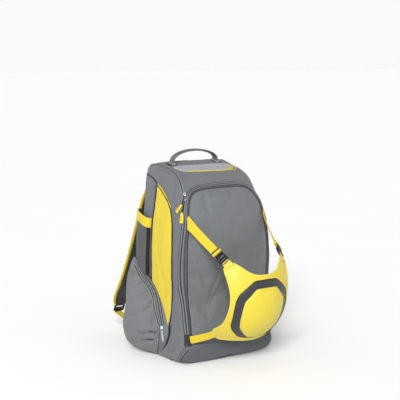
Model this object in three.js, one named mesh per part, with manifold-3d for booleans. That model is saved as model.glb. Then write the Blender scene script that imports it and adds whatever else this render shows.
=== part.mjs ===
// Sports backpack with two side sleeves, two side pockets and a domed front carrier flap.
// Millimetres, +Z up. The bag stands on four feet. -Y is the front, +Y the wearer's back.
// While the pieces are made, the wearer's back plane is Y = 0 and the front is at negative Y.
// The finished group is then moved so that its box is centred over the origin.
import * as THREE from 'three';
import { mergeVertices } from 'three/addons/utils/BufferGeometryUtils.js';
import Module from 'manifold-3d';

const wasm = await Module();
wasm.setup();

// Driving dimensions of the main compartment
const bodyHeight = 537;
const bodyDepth = 250;
const bodyHalfWidth = 160;
const backCornerRadius = 26;
const frontCornerRadius = 20;
const sideBulge = 3;
const wall = 3;
const seatGap = 0.3;
const footHeight = 7;
const footRadius = 7;
const beyond = 500;

// Front door, its zip and the boot pocket below it
const doorBottom = 64;
const doorShoulder = 441;
const doorTop = 494;
const doorInset = 16;
const zipInset = 7;
const zipThickness = 1.6;
const bootTop = 68;
const bootHalfWidth = 155;
const bootDepth = 180;
const bootProud = 8;
const clothWall = 2;
const cornerTabInset = 5;
const cornerTabWidth = 21;
const cornerTabHeight = 34;
const cornerTabThickness = 2;

// Top pocket
const topPocketHalfWidth = 104;
const topPocketFront = 135;
const topPocketBack = 76;
const topPocketCorner = 24;
const pipingRadius = 2;

// Side sleeve and its mouth band
const sleeveFront = 66;
const sleeveBack = 5;
const sleeveBulge = 22;
const sleeveBottom = 24;
const sleeveRoot = 128;
const sleeveMouth = 392;
const bandHeight = 27;
const bandSlope = 0.38;
const bandThickness = 2;

// Side pocket
const pocketHeight = 266;
const pocketBottom = 8;
const pocketBulge = 72;
const pocketBack = 5;
const pocketReach = 172;
const pocketWall = 2.5;
const pocketZipInset = 7;
const pocketZipWidth = 11;
const pocketSliderHeight = 93;

// Domed carrier flap
const domeHalfWidth = 160;
const domeDepth = 160;
const domeHalfHeight = 175;
const domeCentreDepth = 245;
const domeCentreHeight = 221;
const flapHeight = 228;
const flapHalfWidth = 103;
const flapBottom = 78;
const flapThickness = 3;
const flapBandThickness = 1.5;
const flapPadProud = 8;
const flapPadEdge = 1.6;

// Webbing of the flap
const webWidth = 25;
const webThickness = 2;
const buckleLength = 30;
const buckleWidth = 32;
const buckleThickness = 8;
const strapLoopLength = 7;
const upperStrapHeight = 399;
const strapLoopPlace = 14;
const lowerStrapHeight = 74;
const lowerWebWidth = 22;

// Grab handle
const handleSpan = 152;
const handleRise = 34;
const handleWidth = 25;
const handleThickness = 4;
const handleDepth = 53;
const anchorLength = 14;
const anchorThickness = 7;

// Shoulder straps, their webbing and the back pad
const strapWidth = 66;
const strapThickness = 11;
const strapTop = 504;
const strapBottom = 82;
const strapReach = 198;
const strapAnchorX = 128;
const strapAnchorHeight = 50;
const strapSpread = 107;
const strapRootSpread = 58;
const lockWidth = 36;
const lockHeight = 26;
const lockThickness = 6;
const lockBar = 5;
const padHalfWidth = 92;
const padBottom = 80;
const padTop = 478;
const padThickness = 9;
const padCorner = 40;

// Zip sliders, pulls and tabs
const sliderLength = 11;
const sliderWidth = 8;
const sliderThickness = 4;
const pullLength = 30;
const pullWidth = 10;
const pullThickness = 3;
const tabLength = 33;
const tabWidth = 6;
const tabThickness = 1.4;

const colours = {
  grey: 0x7a7f84, panelGrey: 0x80858a, paleGrey: 0xb8b8c0, darkGrey: 0x55595b, bandGrey: 0x4a4c52,
  yellow: 0xf5dc3a, black: 0x222326, silver: 0xc8c9cc,
};

function finish(colour, roughness = 0.85, metalness = 0) {
  return new THREE.MeshStandardMaterial({ color: colour, roughness, metalness });
}

// Solids and meshes

function weld(geometry) {
  const bare = new THREE.BufferGeometry();
  bare.setAttribute('position', geometry.getAttribute('position').clone());
  if (geometry.index) bare.setIndex(geometry.index.clone());
  return mergeVertices(bare, 1e-3);
}

function solid(geometry) {
  const welded = weld(geometry);
  return new wasm.Manifold(new wasm.Mesh({
    numProp: 3,
    vertProperties: new Float32Array(welded.getAttribute('position').array),
    triVerts: new Uint32Array(welded.index.array),
  }));
}

function geometryOf(manifold) {
  const mesh = manifold.getMesh();
  const geometry = new THREE.BufferGeometry();
  geometry.setAttribute('position', new THREE.BufferAttribute(new Float32Array(mesh.vertProperties), 3));
  geometry.setIndex(new THREE.BufferAttribute(new Uint32Array(mesh.triVerts), 1));
  geometry.computeVertexNormals();
  return geometry;
}

// The largest connected body of a cut, without the crumbs that a cut can leave
function mainBody(manifold) {
  const bodies = manifold.decompose();
  return bodies.reduce((best, next) => (next.volume() > best.volume() ? next : best));
}

function mirrored(geometry) {
  const copy = weld(geometry);
  copy.scale(-1, 1, 1);
  const index = copy.index.array;
  for (let i = 0; i < index.length; i += 3) {
    const first = index[i];
    index[i] = index[i + 1];
    index[i + 1] = first;
  }
  copy.computeVertexNormals();
  return copy;
}

// A closed solid through rings of equal length, each end closed by a fan round its middle
function loft(rings) {
  const count = rings[0].length;
  const positions = rings.flat().flatMap((p) => [p.x, p.y, p.z]);
  const index = [];
  for (let r = 0; r + 1 < rings.length; r += 1) {
    for (let i = 0; i < count; i += 1) {
      const a = r * count + i;
      const b = r * count + ((i + 1) % count);
      index.push(a, b, b + count, a, b + count, a + count);
    }
  }
  [0, rings.length - 1].forEach((r) => {
    const middle = rings[r].reduce((sum, p) => sum.add(p), new THREE.Vector3()).divideScalar(count);
    const hub = positions.length / 3;
    positions.push(middle.x, middle.y, middle.z);
    for (let i = 0; i < count; i += 1) {
      const a = r * count + i;
      const b = r * count + ((i + 1) % count);
      if (r === 0) index.push(b, a, hub);
      else index.push(a, b, hub);
    }
  });
  const geometry = new THREE.BufferGeometry();
  geometry.setAttribute('position', new THREE.Float32BufferAttribute(positions, 3));
  geometry.setIndex(index);
  return geometry;
}

// Straight prism of an outline, run along one axis from low to high
const prismAxes = {
  x: [new THREE.Vector3(0, 1, 0), new THREE.Vector3(0, 0, 1), new THREE.Vector3(1, 0, 0)],
  y: [new THREE.Vector3(1, 0, 0), new THREE.Vector3(0, 0, 1), new THREE.Vector3(0, -1, 0)],
  z: [new THREE.Vector3(1, 0, 0), new THREE.Vector3(0, 1, 0), new THREE.Vector3(0, 0, 1)],
};

function prism(outline, axis, low, high) {
  const shape = new THREE.Shape(outline.map(([a, b]) => new THREE.Vector2(a, b)));
  const geometry = new THREE.ExtrudeGeometry(shape, { depth: high - low, bevelEnabled: false });
  geometry.applyMatrix4(new THREE.Matrix4().makeBasis(...prismAxes[axis]));
  if (axis === 'x') geometry.translate(low, 0, 0);
  if (axis === 'y') geometry.translate(0, high, 0);
  if (axis === 'z') geometry.translate(0, 0, low);
  return geometry;
}

// Values between the rows of a table, by the column that rises
function between(rows, column, value, at) {
  const last = rows.length - 1;
  if (value <= rows[0][column]) return rows[0][at];
  if (value >= rows[last][column]) return rows[last][at];
  const upper = rows.findIndex((row) => row[column] > value);
  const below = rows[upper - 1];
  const share = (value - below[column]) / (rows[upper][column] - below[column]);
  return below[at] + share * (rows[upper][at] - below[at]);
}

// Main compartment
// Each row is one slice. Heights are shares of bodyHeight, depths of bodyDepth and widths of
// bodyHalfWidth. The upper slices lean, lower at the front than at the back.
const bodySlices = [
  { back: 0.000, front: 0.000, inset: 0.018, depth: 0.820, frontWide: 0.960, backWide: 0.970, crown: 0.030 },
  { back: 0.010, front: 0.010, inset: 0.004, depth: 0.876, frontWide: 0.985, backWide: 0.985, crown: 0.042 },
  { back: 0.042, front: 0.042, inset: 0.000, depth: 0.918, frontWide: 0.985, backWide: 0.990, crown: 0.055 },
  { back: 0.098, front: 0.098, inset: 0.000, depth: 0.940, frontWide: 0.970, backWide: 0.995, crown: 0.065 },
  { back: 0.212, front: 0.212, inset: 0.000, depth: 0.935, frontWide: 0.963, backWide: 1.000, crown: 0.065 },
  { back: 0.324, front: 0.324, inset: 0.000, depth: 0.892, frontWide: 0.963, backWide: 1.000, crown: 0.060 },
  { back: 0.455, front: 0.455, inset: 0.000, depth: 0.896, frontWide: 0.950, backWide: 0.990, crown: 0.060 },
  { back: 0.576, front: 0.576, inset: 0.000, depth: 0.904, frontWide: 0.940, backWide: 0.975, crown: 0.060 },
  { back: 0.678, front: 0.669, inset: 0.000, depth: 0.892, frontWide: 0.920, backWide: 0.957, crown: 0.065 },
  { back: 0.776, front: 0.761, inset: 0.000, depth: 0.856, frontWide: 0.875, backWide: 0.925, crown: 0.070 },
  { back: 0.836, front: 0.808, inset: 0.000, depth: 0.824, frontWide: 0.844, backWide: 0.906, crown: 0.072 },
  { back: 0.891, front: 0.854, inset: 0.000, depth: 0.768, frontWide: 0.800, backWide: 0.887, crown: 0.076 },
  { back: 0.933, front: 0.901, inset: 0.000, depth: 0.690, frontWide: 0.781, backWide: 0.869, crown: 0.076 },
  { back: 0.961, front: 0.931, inset: 0.004, depth: 0.620, frontWide: 0.775, backWide: 0.850, crown: 0.068 },
  { back: 0.981, front: 0.955, inset: 0.012, depth: 0.530, frontWide: 0.756, backWide: 0.825, crown: 0.056 },
  { back: 0.993, front: 0.970, inset: 0.024, depth: 0.420, frontWide: 0.725, backWide: 0.790, crown: 0.036 },
  { back: 1.000, front: 0.979, inset: 0.048, depth: 0.340, frontWide: 0.660, backWide: 0.740, crown: 0.020 },
];

const heightOf = (share) => footHeight + share * bodyHeight;

const quarter = Math.PI / 2;

function arc(cx, cy, radius, from, to, steps) {
  return Array.from({ length: steps + 1 }, (_, i) => {
    const angle = from + ((to - from) * i) / steps;
    return [cx + radius * Math.cos(angle), cy + radius * Math.sin(angle)];
  });
}

// Right half of a slice from the middle of the back round to the middle of the front
function halfSlice(row) {
  const back = -row.inset * bodyDepth;
  const front = -row.depth * bodyDepth;
  const backWide = row.backWide * bodyHalfWidth;
  const frontWide = row.frontWide * bodyHalfWidth;
  const crown = row.crown * bodyDepth;
  const backFlat = backWide - backCornerRadius;
  const frontFlat = frontWide - frontCornerRadius;
  const sideLength = back - backCornerRadius - (front + frontCornerRadius);
  const points = [[0, back], [backFlat / 2, back]];
  points.push(...arc(backFlat, back - backCornerRadius, backCornerRadius, quarter, 0, 3));
  for (const share of [0.22, 0.45, 0.68, 0.88]) {
    const bulge = sideBulge * 4 * share * (1 - share);
    const wide = backWide + (frontWide - backWide) * share + bulge;
    points.push([wide, back - backCornerRadius - sideLength * share]);
  }
  points.push(...arc(frontFlat, front + frontCornerRadius, frontCornerRadius, 0, -quarter, 3));
  for (const share of [0.72, 0.4, 0]) {
    points.push([frontFlat * share, front - crown * (1 - share * share)]);
  }
  return points;
}

function bodyRing(row) {
  const half = halfSlice(row);
  const front = -row.depth * bodyDepth;
  const back = -row.inset * bodyDepth;
  const left = half.slice(1, -1).reverse().map(([x, y]) => [-x, y]);
  return [...half, ...left].map(([x, y]) => {
    const share = (y - front) / (back - front);
    const z = heightOf(row.front + (row.back - row.front) * share);
    return new THREE.Vector3(x, y, z);
  }).reverse();
}

function bodyLoftOf(slices) {
  const geometry = weld(loft(slices.map(bodyRing)));
  geometry.computeVertexNormals();
  return geometry;
}

const bodyLoft = bodyLoftOf(bodySlices);
const innerLoft = bodyLoftOf(bodySlices.filter((row, i) => i % 2 === 0 || i === 5));

// The same loft moved out (or in, if negative) along its normals
function bodyOffset(distance, from = bodyLoft) {
  const moved = from.clone();
  const place = moved.getAttribute('position');
  const normal = from.getAttribute('normal');
  for (let i = 0; i < place.count; i += 1) {
    place.setXYZ(i, place.getX(i) + distance * normal.getX(i),
      place.getY(i) + distance * normal.getY(i), place.getZ(i) + distance * normal.getZ(i));
  }
  return solid(moved);
}

const bodyOuter = solid(bodyLoft);
const bodyInner = bodyOffset(-wall, innerLoft);
const bodyClear = bodyOffset(seatGap);
const bodyShell = bodyOuter.subtract(bodyInner);
const bodyMesh = new THREE.Mesh(bodyLoft, new THREE.MeshBasicMaterial({ side: THREE.DoubleSide }));

const shareOf = (z) => (z - footHeight) / bodyHeight;
const frontHalfWidth = (z) => bodyHalfWidth * between(bodySlices, 'front', shareOf(z), 'frontWide');
const backHalfWidth = (z) => bodyHalfWidth * between(bodySlices, 'back', shareOf(z), 'backWide');

// Where a straight line from outside first meets the main compartment
function surfaceHit(from, towards) {
  const ray = new THREE.Raycaster(from, towards.clone().normalize());
  const hit = ray.intersectObject(bodyMesh)[0];
  const normal = hit.face.normal.clone();
  if (normal.dot(towards) > 0) normal.negate();
  return { point: hit.point, normal };
}

const vec = (x, y, z) => new THREE.Vector3(x, y, z);
const frontAt = (x, z) => surfaceHit(vec(x, -2 * beyond, z), vec(0, 1, 0));
const sideAt = (y, z) => surfaceHit(vec(beyond, y, z), vec(-1, 0, 0));
const topAt = (x, y) => surfaceHit(vec(x, y, 2 * beyond), vec(0, 0, -1));

// Front door: straight sides that follow the bag's width, and a rounded top
function doorOutline(inset) {
  const right = [];
  const sideSteps = 6;
  for (let i = 0; i <= sideSteps; i += 1) {
    const z = doorBottom + ((doorShoulder - doorBottom) * i) / sideSteps;
    right.push([frontHalfWidth(z) - inset, z]);
  }
  const wide = right[sideSteps][0];
  const rise = doorTop + zipInset - inset - doorShoulder;
  const archSteps = 7;
  const squareness = 0.72;
  for (let i = 1; i <= archSteps; i += 1) {
    const angle = quarter * (i / archSteps);
    const z = doorShoulder + rise * Math.sin(angle) ** squareness;
    right.push([wide * Math.cos(angle) ** squareness, z]);
  }
  right[right.length - 1][0] = 0;
  const left = right.slice(0, -1).reverse().map(([x, z]) => [-x, z]);
  return [...right, ...left];
}

const doorTo = -0.4 * bodyDepth;
const zipSunk = 0.4;
const doorPrism = (inset) => solid(prism(doorOutline(inset), 'y', -beyond, doorTo));
const zipSkin = bodyOffset(-zipSunk).subtract(bodyOffset(-zipSunk - zipThickness));

// Yellow side panel: a leaf in side view, its point at the bottom.
// Depths are shares of bodyDepth from the back plane, heights shares of bodyHeight.
const leafRows = [
  { height: 0.127, front: 0.660, rear: 0.640 },
  { height: 0.165, front: 0.668, rear: 0.610 },
  { height: 0.232, front: 0.696, rear: 0.520 },
  { height: 0.311, front: 0.712, rear: 0.400 },
  { height: 0.391, front: 0.718, rear: 0.315 },
  { height: 0.577, front: 0.704, rear: 0.292 },
  { height: 0.708, front: 0.672, rear: 0.288 },
  { height: 0.794, front: 0.600, rear: 0.300 },
  { height: 0.846, front: 0.490, rear: 0.310 },
  { height: 0.880, front: 0.395, rear: 0.310 },
  { height: 0.906, front: 0.308, rear: 0.304 },
];

function leafOutline(grow) {
  const front = leafRows.map((row) => [-row.front * bodyDepth - grow, heightOf(row.height)]);
  const rear = leafRows.map((row) => [-row.rear * bodyDepth + grow, heightOf(row.height)]);
  front[0][1] -= grow;
  rear[0][1] -= grow;
  front[front.length - 1][1] += grow;
  rear[rear.length - 1][1] += grow;
  return [...rear, ...front.reverse()];
}

const leafFrom = 0.55 * bodyHalfWidth;
const leafBlock = (grow) => prism(leafOutline(grow), 'x', leafFrom, beyond);
const leafPrism = (grow) => solid(leafBlock(grow));
const leafLeft = (grow) => solid(mirrored(leafBlock(grow)));

// Top pocket: a rounded rectangle seen from above
function topPocketOutline(grow) {
  const radius = topPocketCorner + grow;
  const wide = topPocketHalfWidth + grow - radius;
  const front = -topPocketFront - grow + radius;
  const back = -topPocketBack + grow - radius;
  return [
    ...arc(wide, back, radius, 0, quarter, 4), ...arc(-wide, back, radius, quarter, 2 * quarter, 4),
    ...arc(-wide, front, radius, 2 * quarter, 3 * quarter, 4),
    ...arc(wide, front, radius, 3 * quarter, 4 * quarter, 4),
  ];
}

const topFrom = 0.85 * bodyHeight;
const topPrism = (grow) => solid(prism(topPocketOutline(grow), 'z', topFrom, 2 * beyond));

const mainCompartment = mainBody(bodyShell.subtract(doorPrism(zipInset)).subtract(leafPrism(0))
  .subtract(leafLeft(0)).subtract(topPrism(0)));
const frontDoor = mainBody(bodyShell.intersect(doorPrism(doorInset)));
const zipFrame = doorPrism(zipInset + seatGap).subtract(doorPrism(doorInset - seatGap));
const frontZip = mainBody(zipSkin.intersect(zipFrame));
const sidePanel = mainBody(bodyShell.intersect(leafPrism(-seatGap)));
const topPocket = mainBody(bodyShell.intersect(topPrism(-seatGap)));

// Boot pocket across the bottom of the front, open towards the main compartment.
// Right half of its outline from the bottom up: widths as shares of bootHalfWidth, heights as
// shares of the way from its lower edge to bootTop
const bootEdge = [
  { wide: 1.00, height: 0.00 }, { wide: 1.00, height: 0.35 }, { wide: 0.96, height: 0.63 },
  { wide: 0.88, height: 0.82 }, { wide: 0.63, height: 0.94 }, { wide: 0.30, height: 1.00 },
];

function bootOutline(shrink) {
  const low = heightOf(0.002) + shrink;
  const high = bootTop - shrink;
  const half = bootHalfWidth - shrink;
  const right = bootEdge.map((row) => [row.wide * half, low + row.height * (high - low)]);
  const left = right.map(([x, z]) => [-x, z]).reverse();
  return [...right, ...left];
}

function bootBody(distance, shrink) {
  const block = prism(bootOutline(shrink), 'y', -beyond, -bootDepth - shrink);
  return bodyOffset(distance).intersect(solid(block));
}

const bootInside = bootBody(bootProud - clothWall, clothWall);
const bootPocket = mainBody(bootBody(bootProud, 0).subtract(bootInside).subtract(bodyClear));

// Side sleeve: a D-shaped tube against the bag's side, open at its slanted mouth
function sleeveRing(z, grow, slope) {
  const front = -sleeveFront - grow;
  const back = -sleeveBack + grow;
  const side = backHalfWidth(z) - clothWall;
  const steps = 8;
  const ring = [];
  for (let i = 0; i <= steps; i += 1) {
    const share = i / steps;
    const y = front + (back - front) * share;
    const out = (sleeveBulge + grow) * Math.sqrt(Math.max(0, 1 - (2 * share - 1) ** 4));
    ring.push(vec(side + out, y, z + slope * (y - front)));
  }
  ring.push(vec(sleeveRoot, back, z + slope * (back - front)), vec(sleeveRoot, front, z));
  return ring;
}

const sleeveSteps = 3;

function sleeveSolid(grow, bottom, top, slope) {
  const rings = [];
  for (let i = 0; i <= sleeveSteps; i += 1) {
    const share = i / sleeveSteps;
    rings.push(sleeveRing(bottom + (top - bottom) * share, grow, slope * share));
  }
  return solid(loft(rings));
}

const sideSleeve = mainBody(sleeveSolid(0, sleeveBottom, sleeveMouth, bandSlope)
  .subtract(sleeveSolid(-clothWall, sleeveBottom + clothWall, sleeveMouth + bandHeight, bandSlope))
  .subtract(bodyClear));

function bandSolid(grow, spare) {
  return solid(loft([sleeveRing(sleeveMouth - bandHeight - spare, grow, bandSlope),
    sleeveRing(sleeveMouth + spare, grow, bandSlope)]));
}

const sleeveBand = mainBody(bandSolid(seatGap + bandThickness, 0).subtract(bandSolid(seatGap, 1))
  .subtract(bodyClear));

// Side pocket: widest low down, its apex high at the back.
// Heights are shares of pocketHeight, front edges shares of pocketReach and bulges of pocketBulge.
const pocketRows = [
  { height: 0.000, front: 0.660, bulge: 0.300 },
  { height: 0.048, front: 0.750, bulge: 0.580 },
  { height: 0.112, front: 0.840, bulge: 0.830 },
  { height: 0.204, front: 0.950, bulge: 0.965 },
  { height: 0.316, front: 0.977, bulge: 1.000 },
  { height: 0.431, front: 0.918, bulge: 0.950 },
  { height: 0.606, front: 0.767, bulge: 0.840 },
  { height: 0.792, front: 0.465, bulge: 0.690 },
  { height: 0.877, front: 0.308, bulge: 0.570 },
  { height: 0.952, front: 0.170, bulge: 0.440 },
  { height: 1.000, front: 0.076, bulge: 0.310 },
];
const pocketCrest = 0.78;

function pocketRing(row, shrink) {
  const inner = pocketHeight - 2 * shrink;
  const z = pocketBottom + shrink + row.height * inner;
  const front = -row.front * pocketReach + shrink;
  const back = -pocketBack - shrink;
  const side = backHalfWidth(z);
  const steps = [0, 0.12, 0.3, 0.54, pocketCrest, 0.9, 0.97, 1];
  const ring = steps.map((share) => {
    const rise = share < pocketCrest ? 1 - (1 - share / pocketCrest) ** 1.7
      : 1 - ((share - pocketCrest) / (1 - pocketCrest)) ** 3;
    const out = Math.max(0, row.bulge * pocketBulge - shrink) * rise;
    return vec(side - 1 + out, front + (back - front) * share, z);
  });
  ring.push(vec(sleeveRoot, back, z), vec(sleeveRoot, front, z));
  return ring;
}

const pocketSolid = (shrink) => solid(loft(pocketRows.map((row) => pocketRing(row, shrink))));
const pocketShell = pocketSolid(0).subtract(pocketSolid(pocketWall)).subtract(bodyClear)
  .subtract(sleeveSolid(seatGap, sleeveBottom - seatGap, sleeveMouth, bandSlope));

// Zip along the pocket's front edge, in side view
function pocketZipOutline(near, far) {
  const rows = pocketRows.slice(3, 9);
  const edge = rows.map((row) => [-row.front * pocketReach, pocketBottom + row.height * pocketHeight]);
  const outer = edge.map(([y, z]) => [y + near, z]);
  const inner = edge.map(([y, z]) => [y + far, z]);
  return [...inner, ...outer.reverse()];
}

const pocketZipEnd = pocketZipInset + pocketZipWidth;
const pocketZipFrom = 0.9 * bodyHalfWidth;
const pocketZipPrism = (near, far) => solid(prism(pocketZipOutline(near, far), 'x', pocketZipFrom, beyond));
const sidePocket = mainBody(pocketShell.subtract(pocketZipPrism(pocketZipInset, pocketZipEnd)));
const pocketZip = mainBody(pocketShell
  .intersect(pocketZipPrism(pocketZipInset + seatGap, pocketZipEnd - seatGap)));

// Domed carrier flap
function dome(grow) {
  const ball = new THREE.SphereGeometry(1, 28, 16);
  ball.rotateX(Math.PI / 2);
  ball.scale(domeHalfWidth + grow, domeDepth + grow, domeHalfHeight + grow);
  ball.translate(0, -domeCentreDepth, domeCentreHeight);
  return solid(ball);
}

function domeFront(x, z) {
  const across = (x / domeHalfWidth) ** 2 + ((z - domeCentreHeight) / domeHalfHeight) ** 2;
  return -domeCentreDepth - domeDepth * Math.sqrt(Math.max(0, 1 - across));
}

function domeNormal(x, z) {
  const y = domeFront(x, z);
  return new THREE.Vector3(x / domeHalfWidth ** 2, (y + domeCentreDepth) / domeDepth ** 2,
    (z - domeCentreHeight) / domeHalfHeight ** 2).normalize();
}

// Right half of each outline from the top middle down, widths as shares of flapHalfWidth and
// heights as shares of flapHeight above flapBottom
const flapEdge = [
  { wide: 0.00, height: 0.840 }, { wide: 0.20, height: 0.843 }, { wide: 0.34, height: 0.858 },
  { wide: 0.50, height: 0.895 }, { wide: 0.62, height: 0.945 }, { wide: 0.70, height: 0.972 },
  { wide: 0.77, height: 0.996 }, { wide: 1.00, height: 0.945 }, { wide: 1.00, height: 0.880 },
  { wide: 0.96, height: 0.740 }, { wide: 0.93, height: 0.620 }, { wide: 0.93, height: 0.500 },
  { wide: 0.95, height: 0.370 }, { wide: 0.97, height: 0.270 }, { wide: 1.01, height: 0.215 },
  { wide: 1.08, height: 0.155 }, { wide: 0.86, height: 0.030 }, { wide: 0.70, height: 0.022 },
  { wide: 0.45, height: 0.015 }, { wide: 0.20, height: 0.003 }, { wide: 0.00, height: 0.000 },
];
const bandEdge = [
  { wide: 0.00, height: 0.790 }, { wide: 0.34, height: 0.785 }, { wide: 0.56, height: 0.710 },
  { wide: 0.75, height: 0.630 }, { wide: 0.81, height: 0.560 }, { wide: 0.835, height: 0.450 },
  { wide: 0.82, height: 0.260 }, { wide: 0.75, height: 0.190 }, { wide: 0.55, height: 0.100 },
  { wide: 0.35, height: 0.068 }, { wide: 0.00, height: 0.055 },
];
const padEdge = [
  { wide: 0.00, height: 0.690 }, { wide: 0.31, height: 0.688 }, { wide: 0.47, height: 0.610 },
  { wide: 0.60, height: 0.545 }, { wide: 0.635, height: 0.450 }, { wide: 0.64, height: 0.320 },
  { wide: 0.59, height: 0.220 }, { wide: 0.44, height: 0.140 }, { wide: 0.28, height: 0.085 },
  { wide: 0.00, height: 0.068 },
];

function flapOutline(rows, shrink = 0) {
  const middle = flapBottom + 0.45 * flapHeight;
  const right = rows.map((row) => {
    const x = row.wide * flapHalfWidth;
    const z = flapBottom + row.height * flapHeight;
    const reach = Math.hypot(x, z - middle);
    const scale = (reach - shrink) / reach;
    return [x * scale, middle + (z - middle) * scale];
  });
  const left = right.slice(1, -1).reverse().map(([x, z]) => [-x, z]);
  return [...right, ...left].reverse();
}

const flapTo = -domeCentreDepth - 0.1 * domeDepth;
const flapPrism = (rows, shrink) => solid(prism(flapOutline(rows, shrink), 'y', -beyond, flapTo));
const carrierFlap = mainBody(dome(0).subtract(dome(-flapThickness)).intersect(flapPrism(flapEdge)));
const bandSkin = dome(seatGap + flapBandThickness).subtract(dome(seatGap));
const flapBand = mainBody(bandSkin.intersect(flapPrism(bandEdge)).subtract(flapPrism(padEdge)));

// Crowned pad in the middle of the flap: rings from its edge to its centre
function flapPadSolid() {
  const outline = flapOutline(padEdge, seatGap);
  const middle = flapBottom + 0.40 * flapHeight;
  const shares = [1, 0.86, 0.6, 0.3];
  const ringAt = (share, lift) => outline.map(([x, z]) => {
    const inX = x * share;
    const inZ = middle + (z - middle) * share;
    return vec(inX, domeFront(inX, inZ) - lift, inZ);
  });
  const rings = [ringAt(1, -2 * flapThickness)];
  shares.forEach((share) => rings.push(ringAt(share, flapPadEdge + flapPadProud * (1 - share * share))));
  return solid(loft(rings));
}

const flapPad = mainBody(flapPadSolid().subtract(dome(seatGap)));

// Straps and webbing: a flat section swept through stations, each with a centre, a direction
// across the strap, a width and a thickness
function sweep(stations, round = 0) {
  const rings = stations.map((station, i) => {
    const before = stations[Math.max(0, i - 1)].at;
    const after = stations[Math.min(stations.length - 1, i + 1)].at;
    const along = after.clone().sub(before).normalize();
    const across = station.across.clone().addScaledVector(along, -station.across.dot(along)).normalize();
    const out = along.clone().cross(across);
    const w = station.width / 2;
    const t = station.thickness / 2;
    const corner = round * t;
    const side = 0.35 * t;
    const flat = [[w, t], [-w, t], [-w, -t], [w, -t]];
    const soft = [[w, side], [w - corner, t], [-w + corner, t], [-w, side],
      [-w, -side], [-w + corner, -t], [w - corner, -t], [w, -side]];
    const section = round ? soft : flat;
    return section.map(([a, b]) => station.at.clone().addScaledVector(across, a).addScaledVector(out, b));
  });
  return loft(rings);
}

// Upper webbing of the flap, right side: from the side seam down to the buckle on the flap's corner
const flapCorner = vec(0.885 * flapHalfWidth, 0, flapBottom + 0.972 * flapHeight);
flapCorner.y = domeFront(flapCorner.x, flapCorner.z);
const cornerNormal = domeNormal(flapCorner.x, flapCorner.z);
flapCorner.addScaledVector(cornerNormal, -flapThickness / 2);
const seamX = frontHalfWidth(upperStrapHeight) - doorInset;
const seam = frontAt(seamX, upperStrapHeight).point;
const strapLine = seam.clone().sub(flapCorner).normalize();
const cornerAcross = cornerNormal.clone().cross(strapLine).normalize();
const seamAcross = vec(0, 0, 1);
if (cornerAcross.z < 0) cornerAcross.negate();
const cornerOut = strapLine.clone().cross(cornerAcross);
const alongStrap = (distance) => flapCorner.clone().addScaledVector(strapLine, distance);
const buckleSet = 2;
const strapSunk = 8;
const bucklePlace = buckleSet + buckleLength / 2;
const strapFrom = buckleSet + buckleLength + seatGap;
const strapEnd = seam.distanceTo(flapCorner) + strapSunk;

function upperStrapGeometry() {
  const steps = 5;
  const stations = [];
  for (let i = 0; i <= steps; i += 1) {
    const share = i / steps;
    stations.push({
      at: alongStrap(strapFrom + (strapEnd - strapFrom) * share),
      across: cornerAcross.clone().lerp(seamAcross, share).normalize(),
      width: webWidth, thickness: webThickness,
    });
  }
  return geometryOf(mainBody(solid(sweep(stations)).subtract(bodyClear)));
}

// Buckle of the upper webbing: a rounded block with a slot across it, and a webbing keeper loop
function turned(geometry, at, xAxis, zAxis) {
  const z = zAxis.clone().normalize();
  const x = xAxis.clone().addScaledVector(z, -xAxis.dot(z)).normalize();
  const y = z.clone().cross(x);
  geometry.applyMatrix4(new THREE.Matrix4().makeBasis(x, y, z).setPosition(at));
  return geometry;
}

function roundedPlate(length, width, thickness, corner) {
  const a = length / 2;
  const b = width / 2;
  const outline = [...arc(a - corner, b - corner, corner, 0, quarter, 2),
    ...arc(corner - a, b - corner, corner, quarter, 2 * quarter, 2),
    ...arc(corner - a, corner - b, corner, 2 * quarter, 3 * quarter, 2),
    ...arc(a - corner, corner - b, corner, 3 * quarter, 4 * quarter, 2)];
  return prism(outline, 'z', -thickness / 2, thickness / 2);
}

// A rounded plate with straight slots across it, each slot given by its place and length
function slottedPlate(length, width, thickness, corner, slotWidth, slots) {
  return slots.reduce((plate, [place, slotLength]) => {
    const slot = new THREE.BoxGeometry(slotLength, slotWidth, 2 * thickness);
    slot.translate(place, 0, 0);
    return plate.subtract(solid(slot));
  }, solid(roundedPlate(length, width, thickness, corner)));
}

function buckleGeometry() {
  const slot = 0.16 * buckleLength;
  const corner = 4;
  const plate = slottedPlate(buckleLength, buckleWidth, buckleThickness, corner, 0.72 * buckleWidth,
    [[0.2 * buckleLength, slot], [-0.12 * buckleLength, slot]]);
  const block = turned(geometryOf(plate), alongStrap(bucklePlace), strapLine, cornerOut);
  return geometryOf(mainBody(solid(block).subtract(flapTab())));
}

// The flap's corner with clearance, which the buckle takes in
function flapTab() {
  return dome(seatGap).subtract(dome(-flapThickness - seatGap)).intersect(flapPrism(flapEdge, -seatGap));
}

function strapLoopGeometry() {
  const corner = 0.2;
  const plate = roundedPlate(strapLoopLength, webWidth + 5, webThickness + 3, 6 * corner);
  const hole = roundedPlate(2 * strapLoopLength, webWidth + 2 * seatGap, webThickness + 2 * seatGap, corner);
  const at = alongStrap(strapFrom + strapLoopPlace);
  const across = cornerAcross.clone().lerp(seamAcross, strapLoopPlace / (strapEnd - strapFrom)).normalize();
  const out = strapLine.clone().cross(across);
  const block = solid(turned(plate, at, strapLine, out));
  return geometryOf(mainBody(block.subtract(solid(turned(hole, at, strapLine, out)))));
}

// Lower webbing, right side: from the corner tab forward to the flap's lower lobe
const lobeX = 0.975 * flapHalfWidth;
const lobeZ = flapBottom + 0.100 * flapHeight;
const lobePoint = vec(lobeX, domeFront(lobeX, lobeZ), lobeZ)
  .addScaledVector(domeNormal(lobeX, lobeZ), -flapThickness / 2);
const tabX = frontHalfWidth(lowerStrapHeight) - cornerTabInset - 0.6 * cornerTabWidth;
const tabPoint = frontAt(tabX, lowerStrapHeight).point;

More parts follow.
